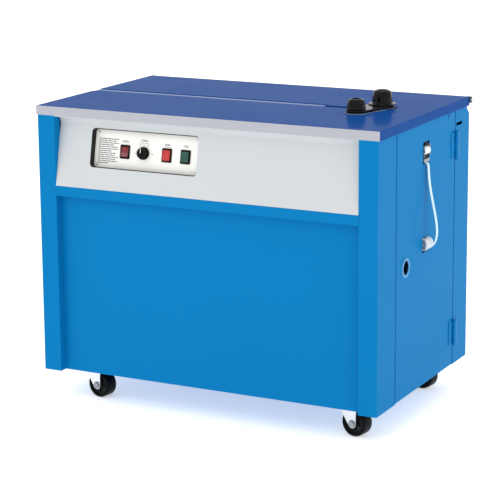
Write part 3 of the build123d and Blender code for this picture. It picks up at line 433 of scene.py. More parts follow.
def rounded(width, height, radius, steps=4, centre=(0, 0)):
    """Outline of a rectangle with round corners."""
    points = []
    for sx, sy, start in ((1, 1, 0), (-1, 1, 90), (-1, -1, 180), (1, -1, 270)):
        corner = (centre[0] + sx * (width / 2 - radius), centre[1] + sy * (height / 2 - radius))
        points += arc(corner, radius, start, start + 90, steps)
    return points


def cushion(mesh, width, height, radius, place, low, high, edge, dish=0.0):
    """A block with round corners, a rolled front edge and a slightly dished face."""
    outlines = [(0, low), (0, high - edge)]
    bends = (pi / 8, pi / 4, 3 * pi / 8, pi / 2)
    outlines += [(edge * (1 - cos(a)), high - edge * (1 - sin(a))) for a in bends]
    outlines += [(edge + inset, high - dish * share) for inset, share in ((0.0014, 0.4), (0.0034, 1))]
    rings = []
    for inset, z in outlines:
        corner = max(radius - inset, 0.0004)
        outline = rounded(width - 2 * inset, height - 2 * inset, corner)
        rings.append([place @ Vector((x, y, z)) for x, y in outline])
    loft(mesh, rings)


def screw_head(mesh, place, radius, height):
    """A pan head with a round socket sunk into it."""
    lathe(mesh, [(0, 0), (radius, 0)] + arc((radius - height * 0.7, height * 0.3), height * 0.7, 0, 90, 4)
          + [(radius * 0.42, height), (radius * 0.42, height * 0.45), (0, height * 0.4)], place, 24)


def hex_bolt(mesh, place, across, height, washer):
    """A hexagon head with a chamfered top, on a washer."""
    seat = 0.0011
    lathe(mesh, [(0, 0), (washer, 0), (washer, 0.0008), (washer - 0.0003, seat), (0, seat)], place, 32)
    hexagon = [(cos(tau * i / 6), sin(tau * i / 6)) for i in range(6)]
    levels = ((across, seat), (across, height - 0.0005), (across * 0.86, height))
    loft(mesh, [[place @ Vector((r * x, r * y, z)) for x, y in hexagon] for r, z in levels])


def soften(obj, width, segments=2):
    """Small bevel on the sharp edges."""
    weld = obj.modifiers.new("weld", "WELD")
    weld.merge_threshold = 1e-6
    bevel = obj.modifiers.new("bevel", "BEVEL")
    bevel.width = width
    bevel.segments = segments
    bevel.limit_method = "ANGLE"
    bevel.angle_limit = radians(35)
    bevel.harden_normals = True
    return obj


# ---------------- finishes of the CAD pieces
def dress_nodes():
    """Gives every CAD node its slot's finish, and a few of them a more exact one."""
    slot_of = {s["node"]: s["material_slot"] for s in frame["record"]["subparts"]}
    exact = {
        "strap_channel_cover": "channel_cover",
        "control_box": "control_box",
        "guide_wear_plate": "zinc_grey",
        "guide_base": "black_gloss",
        "roller_bracket": "zinc_grey",
        "hinge_pins": "hinge_blue",
    }
    for name, node in NODES.items():
        node.data.materials.clear()
        node.data.materials.append(MATERIAL[exact.get(name, slot_of[name])])


# ---------------- controls
def plate_place(x=0.0, y=0.0):
    """Frame on the control plate at the power switch, X along the machine, Y up the slope."""
    return shifted(basis(JOINTS["power_rocker_tilt"]["pos_m"], PLATE_UP, RIGHT), x, y)


def control_knob():
    """Fluted pointer knob with a skirt and a white pointer line."""
    place = joint_place("control_knob_turn", RIGHT)
    mesh = bmesh.new()
    skirt = [(0, 0.001), (0.0153, 0.001)] + arc((0.0143, 0.0042), 0.001, -10, 90, 4)
    lathe(mesh, skirt + [(0.0135, 0.0054), (0, 0.0054)], place, 72)
    levels = [(0.0128, 0.0052), (0.0128, 0.0062), (0.0121, 0.014), (0.0113, 0.0149), (0.0098, 0.0153)]
    loft(mesh, [
        waved_ring(place, 18, 8, height, lambda wave: radius + (
            0.0005 * min(1, max(-1, 2.2 * wave)) if radius > 0.01 else 0))
        for radius, height in levels
    ])
    prism(mesh, rounded(0.0056, 0.0236, 0.0024), place, 0.015, 0.0176)
    knob = soften(piece("knob_cap", mesh, "control_knob", "black_plastic"), 0.0004)
    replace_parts(knob, "control_knob")
    line = bmesh.new()
    prism(line, rounded(0.0016, 0.011, 0.0006, centre=(0, 0.0058)), place, 0.0174, 0.0179)
    piece("knob_pointer_line", line, "control_knob", "plate_cream", "print_white")


def rocker_marks():
    """On and off marks printed on the power rocker: a bar and a ring."""
    marks = bmesh.new()
    place = plate_place()
    prism(marks, rounded(0.0012, 0.0052, 0.0005, 2), shifted(place, y=-0.0064, z=0.003), 0, 0.0004)
    ring = arc((0.002, 0), 0.0005, 0, 330, 9)
    lathe(marks, [(r, 0.0046 + h * 0.5) for r, h in ring], shifted(place, y=0.0062), 24)
    piece("rocker_marks", marks, "power_rocker", "plate_cream", "print_red")


def push_buttons():
    """Lens caps of the two push buttons: rolled edge, dished face and a moulded frame line."""
    for node, slot in (("reset_button", "red_bright"), ("feed_button", "green_dark")):
        place = plate_place(SWITCHES[node])
        mesh = bmesh.new()
        cushion(mesh, 0.0194, 0.0252, 0.0016, place, -0.003, 0.0058, 0.0012, 0.0005)
        cap = piece(f"{node}_cap", mesh, node, slot)
        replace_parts(cap, node)
        rim = bmesh.new()
        for sx, sy in ((1, 0), (-1, 0), (0, 1), (0, -1)):
            size = (0.0005, 0.019) if sx else (0.0134, 0.0005)
            outline = rounded(*size, 0.0002, 1, (sx * 0.0067, sy * 0.0095))
            prism(rim, outline, place, 0.005, 0.0057)
        piece(f"{node}_frame_line", rim, node, slot)


def switch_rims():
    """A stepped bezel lip round each switch."""
    mesh = bmesh.new()
    steps = (       # outer size, inner size, bottom and top of each step
        ((0.0262, 0.0332), (0.0248, 0.0316), 0, 0.0008),
        ((0.023, 0.03), (0.0208, 0.0274), 0.0029, 0.0036),
    )
    for x in SWITCHES.values():
        place = plate_place(x)
        for outside, inside, low, high in steps:
            outer, inner = rounded(*outside, 0.0022), rounded(*inside, 0.0008)
            levels = ((outer, low), (outer, high), (inner, high), (inner, low))
            rings = [[place @ Vector((px, py, z)) for px, py in ring] for ring, z in levels]
            loft(mesh, rings, closed=True)
    piece("switch_rims", mesh, "root", "black_plastic")


def plate_prints():
    """Generic printed marks: a dial scale, bars by the switches and a block of grey rows."""
    grey, red = bmesh.new(), bmesh.new()

    def mark(place, width, height, corner, steps=2, centre=(0, 0), ink=grey):
        prism(ink, rounded(width, height, corner, steps, centre), place, 0, 0.00012)

    knob_x = JOINTS["control_knob_turn"]["pos_m"][0] - JOINTS["power_rocker_tilt"]["pos_m"][0]
    reset, feed = SWITCHES["reset_button"], SWITCHES["feed_button"]
    dial = plate_place(knob_x)
    for number in range(11):
        tick = dial @ Matrix.Rotation(radians(240 - 30 * number), 4, "Z")
        size = 0.003 if number % 5 == 0 else 0.0018
        mark(tick, size, 0.0007, 0.0002, 1, (0.0176 + size / 2, 0))
    for side in (-1, 1):
        mark(dial, 0.0008, 0.0055, 0.0003, 2, (side * 0.0105, 0.0215))
        mark(dial, 0.0045, 0.0013, 0.0004, 2, (side * 0.0235, -0.001))
    mark(dial, 0.0218, 0.0008, 0.0003, 2, (0, 0.0242))
    for x, width in ((0, 0.02), (knob_x, 0.021), (reset, 0.017), (feed, 0.014)):
        label = plate_place(x, 0.029 if x == knob_x else 0.0235)
        for row, share in ((0, 1.0), (1, 0.72)):
            mark(label, width * share, 0.0015, 0.0005, 2, (0, 0.0026 * row))
    widths = (0.055, 0.05, 0.055, 0.043, 0.053, 0.055, 0.036, 0.052, 0.046, 0.055, 0.049, 0.053, 0.03)
    words = (0.009, 0.0055, 0.012, 0.0075, 0.0105)
    block = plate_place(-0.0465, -0.001)
    for number, width in enumerate(widths):
        row = shifted(block, -0.0275, 0.0288 - 0.0048 * number)
        start, word = 0.0, number
        while start < width - 0.003:
            size = min(words[word % len(words)], width - start)
            mark(row, size, 0.0025, 0.0005, 1, (start + size / 2, 0))
            start += size + 0.0009
            word += 2
    mark(plate_place(reset, 0.0195), 0.0165, 0.001, 0.0004, ink=red)
    piece("plate_print_grey", grey, "root", "plate_cream", "print_grey")
    piece("plate_print_red", red, "root", "plate_cream", "print_red")
    screws = bmesh.new()
    for x in (-0.0735, 0.1935):
        for y in (-0.034, 0.042):
            screw_head(screws, plate_place(x, y), 0.0028, 0.0016)
    piece("plate_screws", screws, "root", "bright_steel")


# ---------------- package guide
def guide_post(node, foot, flange):
    """Turned post: flange skirt, tapered body with a round shoulder, rolled lip and sunk top."""
    low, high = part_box(node)
    place = facing_up((low.x + high.x) / 2, (low.y + high.y) / 2, low.z)
    height = high.z - low.z
    top = foot - 0.0022
    profile = [(0.0046, 0)]
    if flange > foot + 0.004:
        profile += arc((flange - 0.0012, 0.0012), 0.0012, -80, 90, 5)
        profile += arc((foot + 0.0035, 0.0059), 0.0035, 270, 184, 5)
    else:
        profile += [(flange - 0.0006, 0), (flange, 0.0008), (flange, 0.0026), (foot + 0.0003, 0.0036)]
    profile += [(foot - 0.0004, height * 0.35), (foot - 0.001, height * 0.58)]
    shoulder = 0.0084
    lip = top - shoulder + 0.0004
    profile += arc((top - shoulder, height - shoulder), shoulder, 10, 84, 11)
    profile += arc((lip, height - 0.001), 0.001, 90, 180, 4)
    floor = height - 0.009
    profile += [(lip - 0.0014, height - 0.0035), (lip - 0.0021, floor), (0.0046, floor)]
    post = lathed(node + "_turned", profile, place, 96, "root", "black_plastic", "black_gloss")
    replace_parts(post, node)


# ---------------- castors
def castor_wheel(name):
    """Hard rubber tyre on a moulded hub with ribs, and a bearing bush."""
    place = joint_place(f"wheel_{name}_spin", UP)
    shoulder, side = WHEEL_RADIUS - 0.0055, WHEEL_HALF - 0.0053
    tyre = [(0.0225, -0.013), (0.024, -0.0155)] + arc((shoulder, -side), 0.0055, 258, 350, 7)
    tyre += [(WHEEL_RADIUS, -0.004), (WHEEL_RADIUS, 0.004)] + arc((shoulder, side), 0.0055, 10, 102, 7)
    tyre += [(0.024, 0.0155), (0.0225, 0.013)]
    wheel = lathed(f"castor_tyre_{name}", tyre, place, 96, f"wheel_{name}", "wheel_black")
    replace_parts(wheel, f"castor_wheel_{name}")
    hub = bmesh.new()
    rim = [(0.0226, 0.0128), (0.0208, 0.0128), (0.0196, 0.008),
           (0.012, 0.0076), (0.0104, 0.0154), (0.0062, 0.0154)]
    lathe(hub, rim + [(r, -h) for r, h in reversed(rim)], place, 72)
    for number in range(6):
        spoke = place @ Matrix.Rotation(tau * number / 6, 4, "Z")
        for side in (-1, 1):
            levels = sorted((side * 0.0074, side * 0.0116))
            prism(hub, rounded(0.0104, 0.0022, 0.0004, 1, (0.015, 0)), spoke, *levels)
    piece(f"castor_hub_{name}", hub, f"wheel_{name}", "black_plastic", "hub_grey")
    bush = [(0.00405, -0.0168), (0.006, -0.0168), (0.006, 0.0168), (0.00405, 0.0168)]
    lathed(f"castor_bush_{name}", bush, place, 48, f"wheel_{name}", "bright_steel")


def castor_nuts(name):
    """Domed nuts with washers on both ends of a castor's axle bolt."""
    place = joint_place(f"wheel_{name}_spin", UP)
    mesh = bmesh.new()
    for side in (-1, 1):
        profile = [(0, 0.0216), (0.0092, 0.0216), (0.0092, 0.0222), (0.008, 0.0224), (0.008, 0.024)]
        profile += arc((0.0055, 0.024), 0.0025, 0, 80, 4) + [(0, 0.0266)]
        lathe(mesh, [(r, side * h) for r, h in profile], place, 40)
    piece(f"castor_nuts_{name}", mesh, f"castor_{name}", "bright_steel", "zinc_grey")


def castor_race(name):
    """Pressed ball race between a castor's plate and fork."""
    x, y, _ = JOINTS[f"castor_{name}_swivel"]["pos_m"]
    race = arc((0.0212, RACE_HEIGHT), 0.0007, 0, 330, 12)
    lathed(f"castor_race_{name}", race, facing_up(x, y, 0), 72, f"castor_{name}", "bright_steel")


def castor_bolts():
    """Hexagon bolts with washers under each castor plate's corners."""
    mesh = bmesh.new()
    for name in CASTORS:
        x, y, _ = JOINTS[f"castor_{name}_swivel"]["pos_m"]
        for sx in (-0.03, 0.03):
            for sy in (-0.022, 0.022):
                place = basis((x + sx, y + sy, CASTOR_PLATE_UNDERSIDE), (0, 0, -1), RIGHT)
                hex_bolt(mesh, place, 0.0058, 0.0044, 0.0072)
    piece("castor_plate_bolts", mesh, "root", "bright_steel")


# ---------------- strap
# The route's points, under the lower roller, out in a bow and in under the bracket's tongue.
STRAP_ROUTE = [(x, 0, z) for x, z in (
    (0.424, 0.409), (0.436, 0.4069), (0.4485, 0.4062), (0.4605, 0.412),
    (0.4695, 0.4245), (0.4732, 0.441), (0.4732, 0.458), (0.4705, 0.479),
    (0.4655, 0.503), (0.4596, 0.53), (0.4546, 0.556), (0.4516, 0.58),
    (0.4504, 0.598), (0.4492, 0.6103), (0.441, 0.6146), (0.43, 0.6175),
)]


def route_line(points):
    """The smooth line that a route's points control."""
    curve = bpy.data.curves.new("route", "CURVE")
    curve.dimensions = "3D"
    curve.resolution_u = 12
    spline = curve.splines.new("NURBS")
    spline.points.add(len(points) - 1)
    for spot, point in zip(spline.points, points):
        spot.co = (*point, 1)
    spline.order_u = 3
    spline.use_endpoint_u = True
    holder = bpy.data.objects.new("route", curve)
    bpy.context.scene.collection.objects.link(holder)
    bpy.context.view_layer.update()
    line = bpy.data.meshes.new_from_object(holder.evaluated_get(bpy.context.evaluated_depsgraph_get()))
    spots = [v.co.copy() for v in line.vertices]
    bpy.data.objects.remove(holder)
    bpy.data.curves.remove(curve)
    bpy.data.meshes.remove(line)
    return spots


def strap():
    """The band between the rollers: a flat section with rolled edges."""
    width, thick = 0.012, 0.0008
    section = rounded(width, thick, 0.00035, 2)
    line = route_line(STRAP_ROUTE)
    across = Vector((0, 1, 0))
    rings = []
    for i, spot in enumerate(line):
        ahead = (line[min(i + 1, len(line) - 1)] - line[max(i - 1, 0)]).normalized()
        outward = ahead.cross(across)
        rings.append([spot + across * a + outward * b for a, b in section])
    mesh = bmesh.new()
    loft(mesh, rings)
    band = piece("strap_band", mesh, "side_door", "strap_white", smooth=60)
    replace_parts(band, "strap")


def rollers():
    """The strap rollers: turned nylon with sunk ends and a steel bearing in each."""
    upper, lower = (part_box(f"{name}_roller") for name in ("upper", "lower"))
    races = ((0.0031, 0.0044, 0.0002), (0.0047, 0.006, -0.0002), (0.0062, 0.0071, 0.0002))
    for name, box, barrel in (("upper", upper, None), ("lower", lower, 0.0115)):
        place = joint_place(f"{name}_roller_spin", UP)
        rim, half, sunk = (box[1].z - box[0].z) / 2, ROLLER_HALF, 0.0072
        profile = [(0.00305, half - 0.0012), (sunk, half - 0.0016), (sunk + 0.0006, half)]
        if barrel:
            profile += arc((rim - 0.001, half - 0.001), 0.001, 90, 0, 4)
            profile += [(rim, 0.0118), (rim - 0.0006, 0.0112)]
            profile += [(barrel + 0.0008, 0.0108), (barrel, 0.01)]
        else:
            profile += arc((rim - 0.0014, half - 0.0014), 0.0014, 90, 0, 4) + [(rim - 0.0003, 0.006)]
        profile += [(r, -h) for r, h in reversed(profile)]
        turned = lathed(f"{name}_roller_turned", profile, place, 64, f"{name}_roller", "white_nylon")
        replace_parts(turned, f"{name}_roller")
        bearing = bmesh.new()
        for side in (-1, 1):
            for inner, outer, out in races:
                low, high = sorted((side * (half - 0.003), side * (half - 0.001 + out)))
                lathe(bearing, [(inner, low), (outer, low), (outer, high), (inner, high)], place, 40)
        piece(f"{name}_roller_bearing", bearing, f"{name}_roller", "bright_steel")


# ---------------- side door's fittings
def door_latch():
    """Finger ring in a paler blue that is a painted highlight on its rolled rim, with a dark cup and a pull bar
    across its depth.
    """
    low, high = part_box("door_latch")
    place = facing_right(BODY_SIDE, (low.y + high.y) / 2, (low.z + high.z) / 2)
    ring = [(0.0162, 0), (0.0233, 0)] + arc((0.0215, 0.001), 0.0018, -20, 90, 5)
    ring += arc((0.018, 0.001), 0.0018, 90, 190, 5)
    # The ring's paler blue is a painted highlight on its rolled rim.
    lathed("latch_ring", ring, place, 96, "side_door", "casing_blue", "latch_highlight_blue")
    cup = [(0, -0.02), (0.0172, -0.02), (0.0186, -0.0185), (0.0186, -0.0003), (0.0158, 0.0008),
           (0.0156, -0.0008), (0.0162, -0.0172), (0.015, -0.0182), (0, -0.0182)]
    bowl = lathed("latch_cup", cup, place, 96, "side_door", "casing_blue", "cup_navy")
    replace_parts(bowl, "door_latch")
    bar = bmesh.new()
    prism(bar, rounded(0.03, 0.005, 0.002), place, -0.014, -0.0105)
    soften(piece("latch_pull_bar", bar, "side_door", "black_plastic"), 0.0006)


def door_hinge_screws():
    """Countersunk screws in the door hinges' leaves."""
    for node, body in (("door_hinge_fixed_leaves", "root"), ("door_hinge_moving_leaves", "side_door")):
        low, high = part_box(node)
        leaf_y = high.y - 0.01 if body == "root" else low.y + 0.01
        mesh = bmesh.new()
        for z in (low.z + 0.01, low.z + 0.0495, high.z - 0.0535, high.z - 0.01):
            screw_head(mesh, facing_right(BODY_SIDE + 0.002, leaf_y, z), 0.0034, 0.0009)
        piece(node + "_screws", mesh, body, "hinge_blue")


def door_gap_shade():
    """Black strip set in the gap in front of the door as painted shade, and darker blue strips beside its upright
    edges as painted shadow lines.
    """
    low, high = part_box("right_front_column")
    mesh = bmesh.new()
    place = facing_up(0, high.y, low.z + 0.004)
    outline = [(BODY_SIDE - 0.018, 0), (BODY_SIDE - 0.0012, 0), (BODY_SIDE - 0.0012, 0.0003),
               (BODY_SIDE - 0.002, 0.0005), (BODY_SIDE - 0.0172, 0.0005), (BODY_SIDE - 0.018, 0.0003)]
    prism(mesh, outline, place, 0, high.z - low.z - 0.008)
    # Black strip in the gap: painted shade that deepens the gap.
    piece("door_gap_shade", mesh, "root", "belt_black")
    lips = bmesh.new()
    for edge, width in ((high.y - 0.005, 0.005), (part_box("right_rear_column")[0].y, 0.0025)):
        corner = facing_up(BODY_SIDE, edge, low.z + 0.002)
        outline = [(-0.0002, 0.0001), (0.0001, 0), (0.0003, 0.0006),
                   (0.0003, width - 0.0003), (-0.0002, width)]
        prism(lips, outline, corner, 0, high.z - low.z - 0.003)
    # Darker blue strips beside the door's edges: painted shadow lines.
    piece("door_edge_shadow_lines", lips, "root", "casing_blue", "painted_shadow_blue")


def door_catch():
    """Spring catch tucked under the table's edge at the top of the door."""
    mesh = bmesh.new()
    place = facing_right(BODY_SIDE, 0.147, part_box("side_door")[1].z - 0.009)
    prism(mesh, rounded(0.015, 0.012, 0.003), place, 0, 0.0012)
    prism(mesh, rounded(0.0085, 0.005, 0.002, centre=(0.001, 0.001)), place, 0.0012, 0.0028)
    soften(piece("door_catch", mesh, "side_door", "hinge_blue"), 0.0005)


def bracket_screws():
    """The screws that hold the roller bracket's tabs to the door's inner face."""
    mesh = bmesh.new()
    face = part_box("roller_bracket")[0].x + 0.025
    for y in (-0.034, 0.034):
        for z in (0.475, 0.52, 0.565):
            hex_bolt(mesh, basis((face, y, z), (-1, 0, 0), REAR), 0.005, 0.0042, 0.0065)
    piece("bracket_screws", mesh, "side_door", "bright_steel")


# ---------------- table's hinge line
def hinge_caps():
    """Round moulded caps on the ends of the lid's long hinge, with the pin's end showing."""
    spot = JOINTS["lid_hinge"]["pos_m"]
    for side, name in ((-1, "left"), (1, "right")):
        place = basis((0, spot[1] - 0.0022, spot[2] - 0.0012), (side, 0, 0), REAR)
        start, end = TABLE_END - 0.009, TABLE_END + (0.003 if side > 0 else 0)
        cap = [(0.003, start), (0.0082, start)] + arc((0.0066, end - 0.0016), 0.0016, 0, 90, 5)
        cap += [(0.0034, end), (0.003, end - 0.0012)]
        lathed(f"hinge_cap_{name}", cap, place, 48, "root", "black_plastic", "cap_grey")
        pin = [(0, end - 0.006), (0.0029, end - 0.006), (0.0029, end - 0.001),
               (0.0022, end - 0.0003), (0, end - 0.0003)]
        lathed(f"hinge_pin_end_{name}", pin, place, 32, "root", "bright_steel")


def leaf_screws():
    """The row of screws through the long hinge's fixed leaf, on the rear of the machine."""
    low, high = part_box("lid_hinge_fixed_leaf")
    mesh = bmesh.new()
    count = 8
    for number in range(count):
        x = low.x + 0.03 + (high.x - low.x - 0.06) * number / (count - 1)
        screw_head(mesh, facing_rear(x, high.y - 0.0038, low.z + 0.014), 0.0042, 0.0018)
    piece("fixed_leaf_screws", mesh, "root", "black_steel", "bright_steel")


# ---------------- strap reel
def coil():
    """Wound strap: bands side by side on its face, layered turns on its sides, a card core."""
    low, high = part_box("strap_coil")
    centre = (low + high) / 2
    half = (high.y - low.y) / 2
    outer, bore = (high.x - low.x) / 2, 0.1
    place = facing_rear(*centre)
    bands, layers = 14, 34
    layer_height = (outer - bore - 0.01) / layers
    side = []
    for layer in range(layers):
        radius = bore + 0.006 + layer_height * layer
        step = 0.0009 if layer % 3 == 1 else 0.0003
        side += [(radius, step), (radius + layer_height * 0.8, step * 0.3)]
    profile = [(bore + 0.005, -half + 0.0005)] + [(r, -half + s) for r, s in side]
    for band in range(bands):
        start = -half + 2 * half * band / bands
        stop = start + 2 * half / bands
        crown = outer - (0.0009 if band % 2 else 0.0001)
        profile += [(crown - 0.0006, start + 0.0003), (crown, start + 0.0009)]
        profile += [(crown, stop - 0.0009), (crown - 0.0006, stop - 0.0003)]
    profile += [(r, half - s) for r, s in reversed(side)] + [(bore + 0.005, half - 0.0005)]
    wound = lathed("wound_strap", profile, place, 128, "strap_reel", "strap_white", smooth=25)
    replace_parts(wound, "strap_coil")
    core = [(bore + r, h) for r, h in ((0, half), (0.0048, half), (0.0048, -half), (0, -half))]
    lathed("coil_core", core, place, 96, "strap_reel", "strap_white", "card_brown")


def reel_fittings():
    """Star knob on the shaft's end, and ribs and bolts on the outer flange."""
    x, _, z = JOINTS["reel_spin"]["pos_m"]
    front = basis((x, -0.1235, z), (0, -1, 0), RIGHT)
    knob = bmesh.new()
    levels = ((0.88, -0.018), (1.0, -0.015), (1.0, -0.004), (0.9, -0.0006), (0.55, 0.0))
    loft(knob, [waved_ring(front, 6, 12, height, lambda wave: (0.027 + 0.0045 * wave) * scale)
                for scale, height in levels])
    piece("reel_star_knob", knob, "root", "black_plastic")
    flange_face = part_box("reel_outer_flange")[0].y
    ribs = bmesh.new()
    bolts = bmesh.new()
    rib_foot = -0.094
    reach = rib_foot - flange_face
    for number in range(6):
        turn = Matrix.Rotation(tau * (number + 0.5) / 6, 4, "Z")
        place = basis((x, rib_foot, z), (0, -1, 0), RIGHT) @ turn
        outline = [(0.024, -0.003), (0.19, -0.0018), (0.19, 0.0018), (0.024, 0.003)]
        loft(ribs, [[place @ Vector((a, b, h)) for a, b in outline] for h in (0, reach * 0.6)])
        hex_bolt(bolts, shifted(place, 0.07, 0.016), 0.0055, 0.0048, 0.0075)
    piece("reel_flange_ribs", ribs, "strap_reel", "black_plastic")
    piece("reel_flange_bolts", bolts, "strap_reel", "bright_steel")


# ---------------- drive and electrics
def motor():
    """Finned motor on a foot: end bells, fan cowl with black patches of painted shade for its slots, terminal box
    and a plate.
    """
    low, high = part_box("drive_motor")
    x, _, z = JOINTS["motor_spin"]["pos_m"]
    place = facing_rear(x, low.y, z)
    front, back = 0.008, high.y - low.y
    body = bmesh.new()
    fins, rings = 40, []
    for number in range(fins):
        for part, radius in ((0.15, 0.0468), (0.35, 0.0515), (0.65, 0.0515), (0.85, 0.0468)):
            angle = tau * (number + part) / fins
            rings.append((radius * cos(angle), radius * sin(angle)))
    prism(body, rings, place, front + 0.024, back - 0.036)
    bell = [(0, 0.0005), (0.0255, 0.0005), (0.0255, front), (0.046, front + 0.001)]
    bell += arc((0.046, front + 0.007), 0.006, 270, 360, 5)
    bell += [(0.052, front + 0.025), (0, front + 0.025)]
    lathe(body, bell, place, 96)
    cowl = [(0, back - 0.037), (0.052, back - 0.037), (0.052, back - 0.008)]
    cowl += arc((0.044, back - 0.008), 0.008, 0, 90, 6)
    cowl += [(0.014, back), (0.013, back - 0.003), (0, back - 0.003)]
    lathe(body, cowl, place, 96)
    foot = facing_up(x, (low.y + high.y) / 2 - 0.002, low.z)
    prism(body, rounded(0.088, 0.12, 0.004), foot, 0, 0.006)
    for side in (-1, 1):
        prism(body, rounded(0.01, 0.1, 0.003, centre=(side * 0.034, 0)), foot, 0.006, 0.036)
    box = shifted(facing_up(x, (low.y + high.y) / 2 - 0.01, z), z=0.044)
    cushion(body, 0.06, 0.052, 0.005, box, 0, 0.024, 0.003)
    shell = piece("motor_shell", body, "root", "motor_grey")
    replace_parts(soften(shell, 0.0003, 1), "drive_motor")
    # Black patches on the cowl's end: painted shade standing in for its open slots.
    slots = bmesh.new()
    slot = rounded(0.02, 0.005, 0.002, centre=(0.03, 0))
    for number in range(12):
        spoke = place @ Matrix.Rotation(tau * number / 12, 4, "Z")
        prism(slots, slot, spoke, back - 0.001, back + 0.0002)
    piece("motor_cowl_slot_shade", slots, "root", "black_steel")
    bolts = bmesh.new()
    for sx in (-0.028, 0.028):
        for sy in (-0.02, 0.02):
            screw_head(bolts, shifted(box, sx * 0.88, sy * 0.96, 0.024), 0.0026, 0.0014)
    for sx in (-1, 1):
        for sy in (-0.05, 0.05):
            hex_bolt(bolts, shifted(foot, sx * 0.04, sy * 0.9, 0.006), 0.0034, 0.004, 0.0038)
    piece("motor_screws", bolts, "root", "bright_steel")


def circuit_parts():
    """Relays, capacitors, a copper coil and terminals on the board behind the console."""
    board = shifted(plate_place(), 0.06, 0.004, -0.04)
    facing = board @ Matrix.Rotation(pi, 4, "Y")
    black, amber, copper = bmesh.new(), bmesh.new(), bmesh.new()
    capacitor = [(0, 0), (0.0048, 0), (0.005, 0.001), (0.0046, 0.0018),
                 (0.005, 0.0026), (0.005, 0.0185), (0.0044, 0.0195), (0, 0.0192)]
    for number in range(5):
        relay = shifted(facing, 0.124 - 0.018 * number, 0.038)
        cushion(black, 0.015, 0.019, 0.001, relay, 0, 0.015, 0.0006)
    for number in range(4):
        lathe(black, capacitor, shifted(facing, -0.046 + 0.014 * number, 0.04), 28)
    for number in range(7):
        terminal = shifted(facing, -0.125 + 0.0105 * number, -0.043)
        cushion(amber, 0.009, 0.011, 0.0008, terminal, 0, 0.011, 0.0005)
        lathe(copper, [(0, 0), (0.0026, 0), (0.0026, 0.0112), (0, 0.0115)], terminal, 20)
    for number in range(5):
        rings = arc((0.0085, 0.003 + 0.003 * number), 0.0014, 0, 330, 9)
        lathe(copper, rings, shifted(facing, 0.01, -0.036), 40)
    piece("board_relays", black, "root", "black_plastic")
    piece("board_terminals", amber, "root", "black_plastic", "part_amber")
    piece("board_copper", copper, "root", "bright_steel", "copper")


def louvre_hoods():
    """Pressed hoods, open below, over all the rear panel's slots but the row behind the hinge's leaf."""
    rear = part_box("rear_panel")[1].y
    stations = [(-0.092, 0.08), (-0.0895, 0.6), (-0.085, 0.92), (-0.078, 1)]
    stations += [(-along, swell) for along, swell in reversed(stations)]
    bends = (0, pi / 10, pi / 5, 3 * pi / 10, 2 * pi / 5, pi / 2)
    mesh = bmesh.new()
    for x in (-HOOD_COLUMN, HOOD_COLUMN):
        for number in range(8):
            place = facing_right(x, rear, LOUVRE_MIDDLE + HOOD_PITCH * (number - 4) - 0.0035)
            rings = []
            for along, swell in stations:
                outer = [(0.0042 * swell * cos(a), 0.0085 * sin(a) * swell) for a in bends]
                inner = [(max(a - 0.0006, 0.0001), b * 0.93) for a, b in reversed(outer[:-1])]
                rings.append([place @ Vector((a, b, along)) for a, b in outer + inner])
            loft(mesh, rings)
    piece("louvre_hoods", mesh, "root", "casing_blue")


def cable_gland():
    """Clamping nut of the cable gland: a knurled dome, with a seal round the lead's bore."""
    low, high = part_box("cable_gland")
    place = facing_rear((low.x + high.x) / 2, high.y - 0.0045, (low.z + high.z) / 2)
    mesh = bmesh.new()
    levels = ((0.01, -0.0002), (0.01, 0.003), (0.0088, 0.0046), (0.0066, 0.0049))
    loft(mesh, [
        waved_ring(place, 24, 4, height, lambda wave: radius + (0.00035 * wave if height < 0.004 else 0))
        for radius, height in levels
    ])
    piece("gland_nut", mesh, "root", "black_plastic")
    seal = [(0.0028, 0.0038), (0.0062, 0.0038), (0.0056, 0.0049), (0.0036, 0.0049)]
    lathed("gland_seal", seal, place, 40, "root", "belt_black")


# ---------------- fasteners of the casing
def casing_screws():
    """Button head screws on the rear panel and the left side, where the sheets are fixed."""
    mesh = bmesh.new()
    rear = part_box("rear_panel")[1].y
    for x in (-0.372, 0.372):
        for z in (0.11, 0.27, 0.43, 0.59):
            screw_head(mesh, facing_rear(x, rear, z), 0.0046, 0.0022)
    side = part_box("left_side_panel")[0].x
    for y in (-0.235, 0, 0.235):
        screw_head(mesh, basis((side, y, 0.0945), (-1, 0, 0), REAR), 0.0046, 0.0022)
    piece("casing_screws", mesh, "root", "casing_blue", "bright_steel")


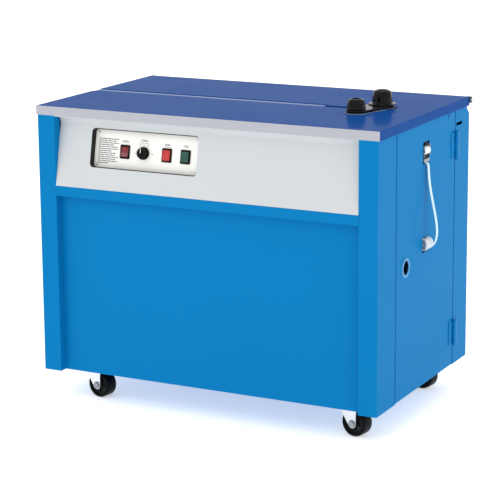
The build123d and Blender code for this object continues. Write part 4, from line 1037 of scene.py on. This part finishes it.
# ---------------- camera, light and floor
def studio():
    """Plain floor, soft light all round and the photo's camera, at the front right corner."""
    scene = bpy.context.scene
    scene.view_settings.view_transform = "Standard"
    world = bpy.data.worlds.new("studio")
    world.use_nodes = True
    scene.world = world
    background = world.node_tree.nodes["Background"]
    background.inputs["Color"].default_value = (1, 1, 1, 1)
    background.inputs["Strength"].default_value = 1.0

    floor_mesh = bmesh.new()
    bmesh.ops.create_grid(floor_mesh, x_segments=1, y_segments=1, size=60)
    data = bpy.data.meshes.new("floor")
    floor_mesh.to_mesh(data)
    floor_mesh.free()
    floor = bpy.data.objects.new("floor", data)
    scene.collection.objects.link(floor)
    white = Finish("floor_white", (0.97, 0.97, 0.97, 1), 0.9, Specular_IOR_Level=0.1,
                   Emission_Color=(1, 1, 1, 1), Emission_Strength=0.45)
    data.materials.append(white.material)

    for name, place, size, power in (
        ("key", (-2.2, -3.2, 3.2), 1.1, 14),
        ("side", (3.8, -0.6, 2.2), 1.0, 6),
        ("top", (0.2, 0.4, 4.2), 1.2, 12),
    ):
        light = bpy.data.lights.new(name, "AREA")
        light.size = size
        light.energy = power
        lamp = bpy.data.objects.new(name, light)
        lamp.location = place
        lamp.rotation_mode = "QUATERNION"
        lamp.rotation_quaternion = (Vector(place) - Vector((0, 0, 0.4))).to_track_quat("Z", "Y")
        scene.collection.objects.link(lamp)

    distance, azimuth, elevation = 4.716, radians(27.03), radians(12.9)
    yaw, pitch, roll = radians(27.23), radians(11.84), radians(-0.45)
    target = Vector((0, 0, 0.395))
    camera = bpy.data.objects.new("camera", bpy.data.cameras.new("camera"))
    camera.data.sensor_width = 36
    camera.data.lens = camera.data.sensor_width * FOCAL_LENGTH / PHOTO_WIDTH
    camera.data.shift_y = -0.1
    camera.data.clip_end = 120
    camera.location = target + distance * Vector(
        (sin(azimuth) * cos(elevation), -cos(azimuth) * cos(elevation), sin(elevation))
    )
    back = Vector((sin(yaw) * cos(pitch), -cos(yaw) * cos(pitch), sin(pitch)))
    right = Vector((cos(yaw), sin(yaw), 0))
    up = back.cross(right)
    turned_right = cos(roll) * right + sin(roll) * up
    turned_up = back.cross(turned_right)
    camera.rotation_mode = "QUATERNION"
    camera.rotation_quaternion = Matrix((turned_right, turned_up, back)).transposed().to_quaternion()
    scene.collection.objects.link(camera)
    scene.camera = camera


dress_nodes()
control_knob()
rocker_marks()
push_buttons()
switch_rims()
plate_prints()
guide_post("front_guide_post", 0.022, 0.0226)
guide_post("rear_guide_post", 0.024, 0.033)
for castor in CASTORS:
    castor_wheel(castor)
    castor_nuts(castor)
    castor_race(castor)
castor_bolts()
strap()
rollers()
door_latch()
door_hinge_screws()
door_gap_shade()
door_catch()
bracket_screws()
hinge_caps()
leaf_screws()
coil()
reel_fittings()
motor()
circuit_parts()
cable_gland()
louvre_hoods()
casing_screws()
studio()
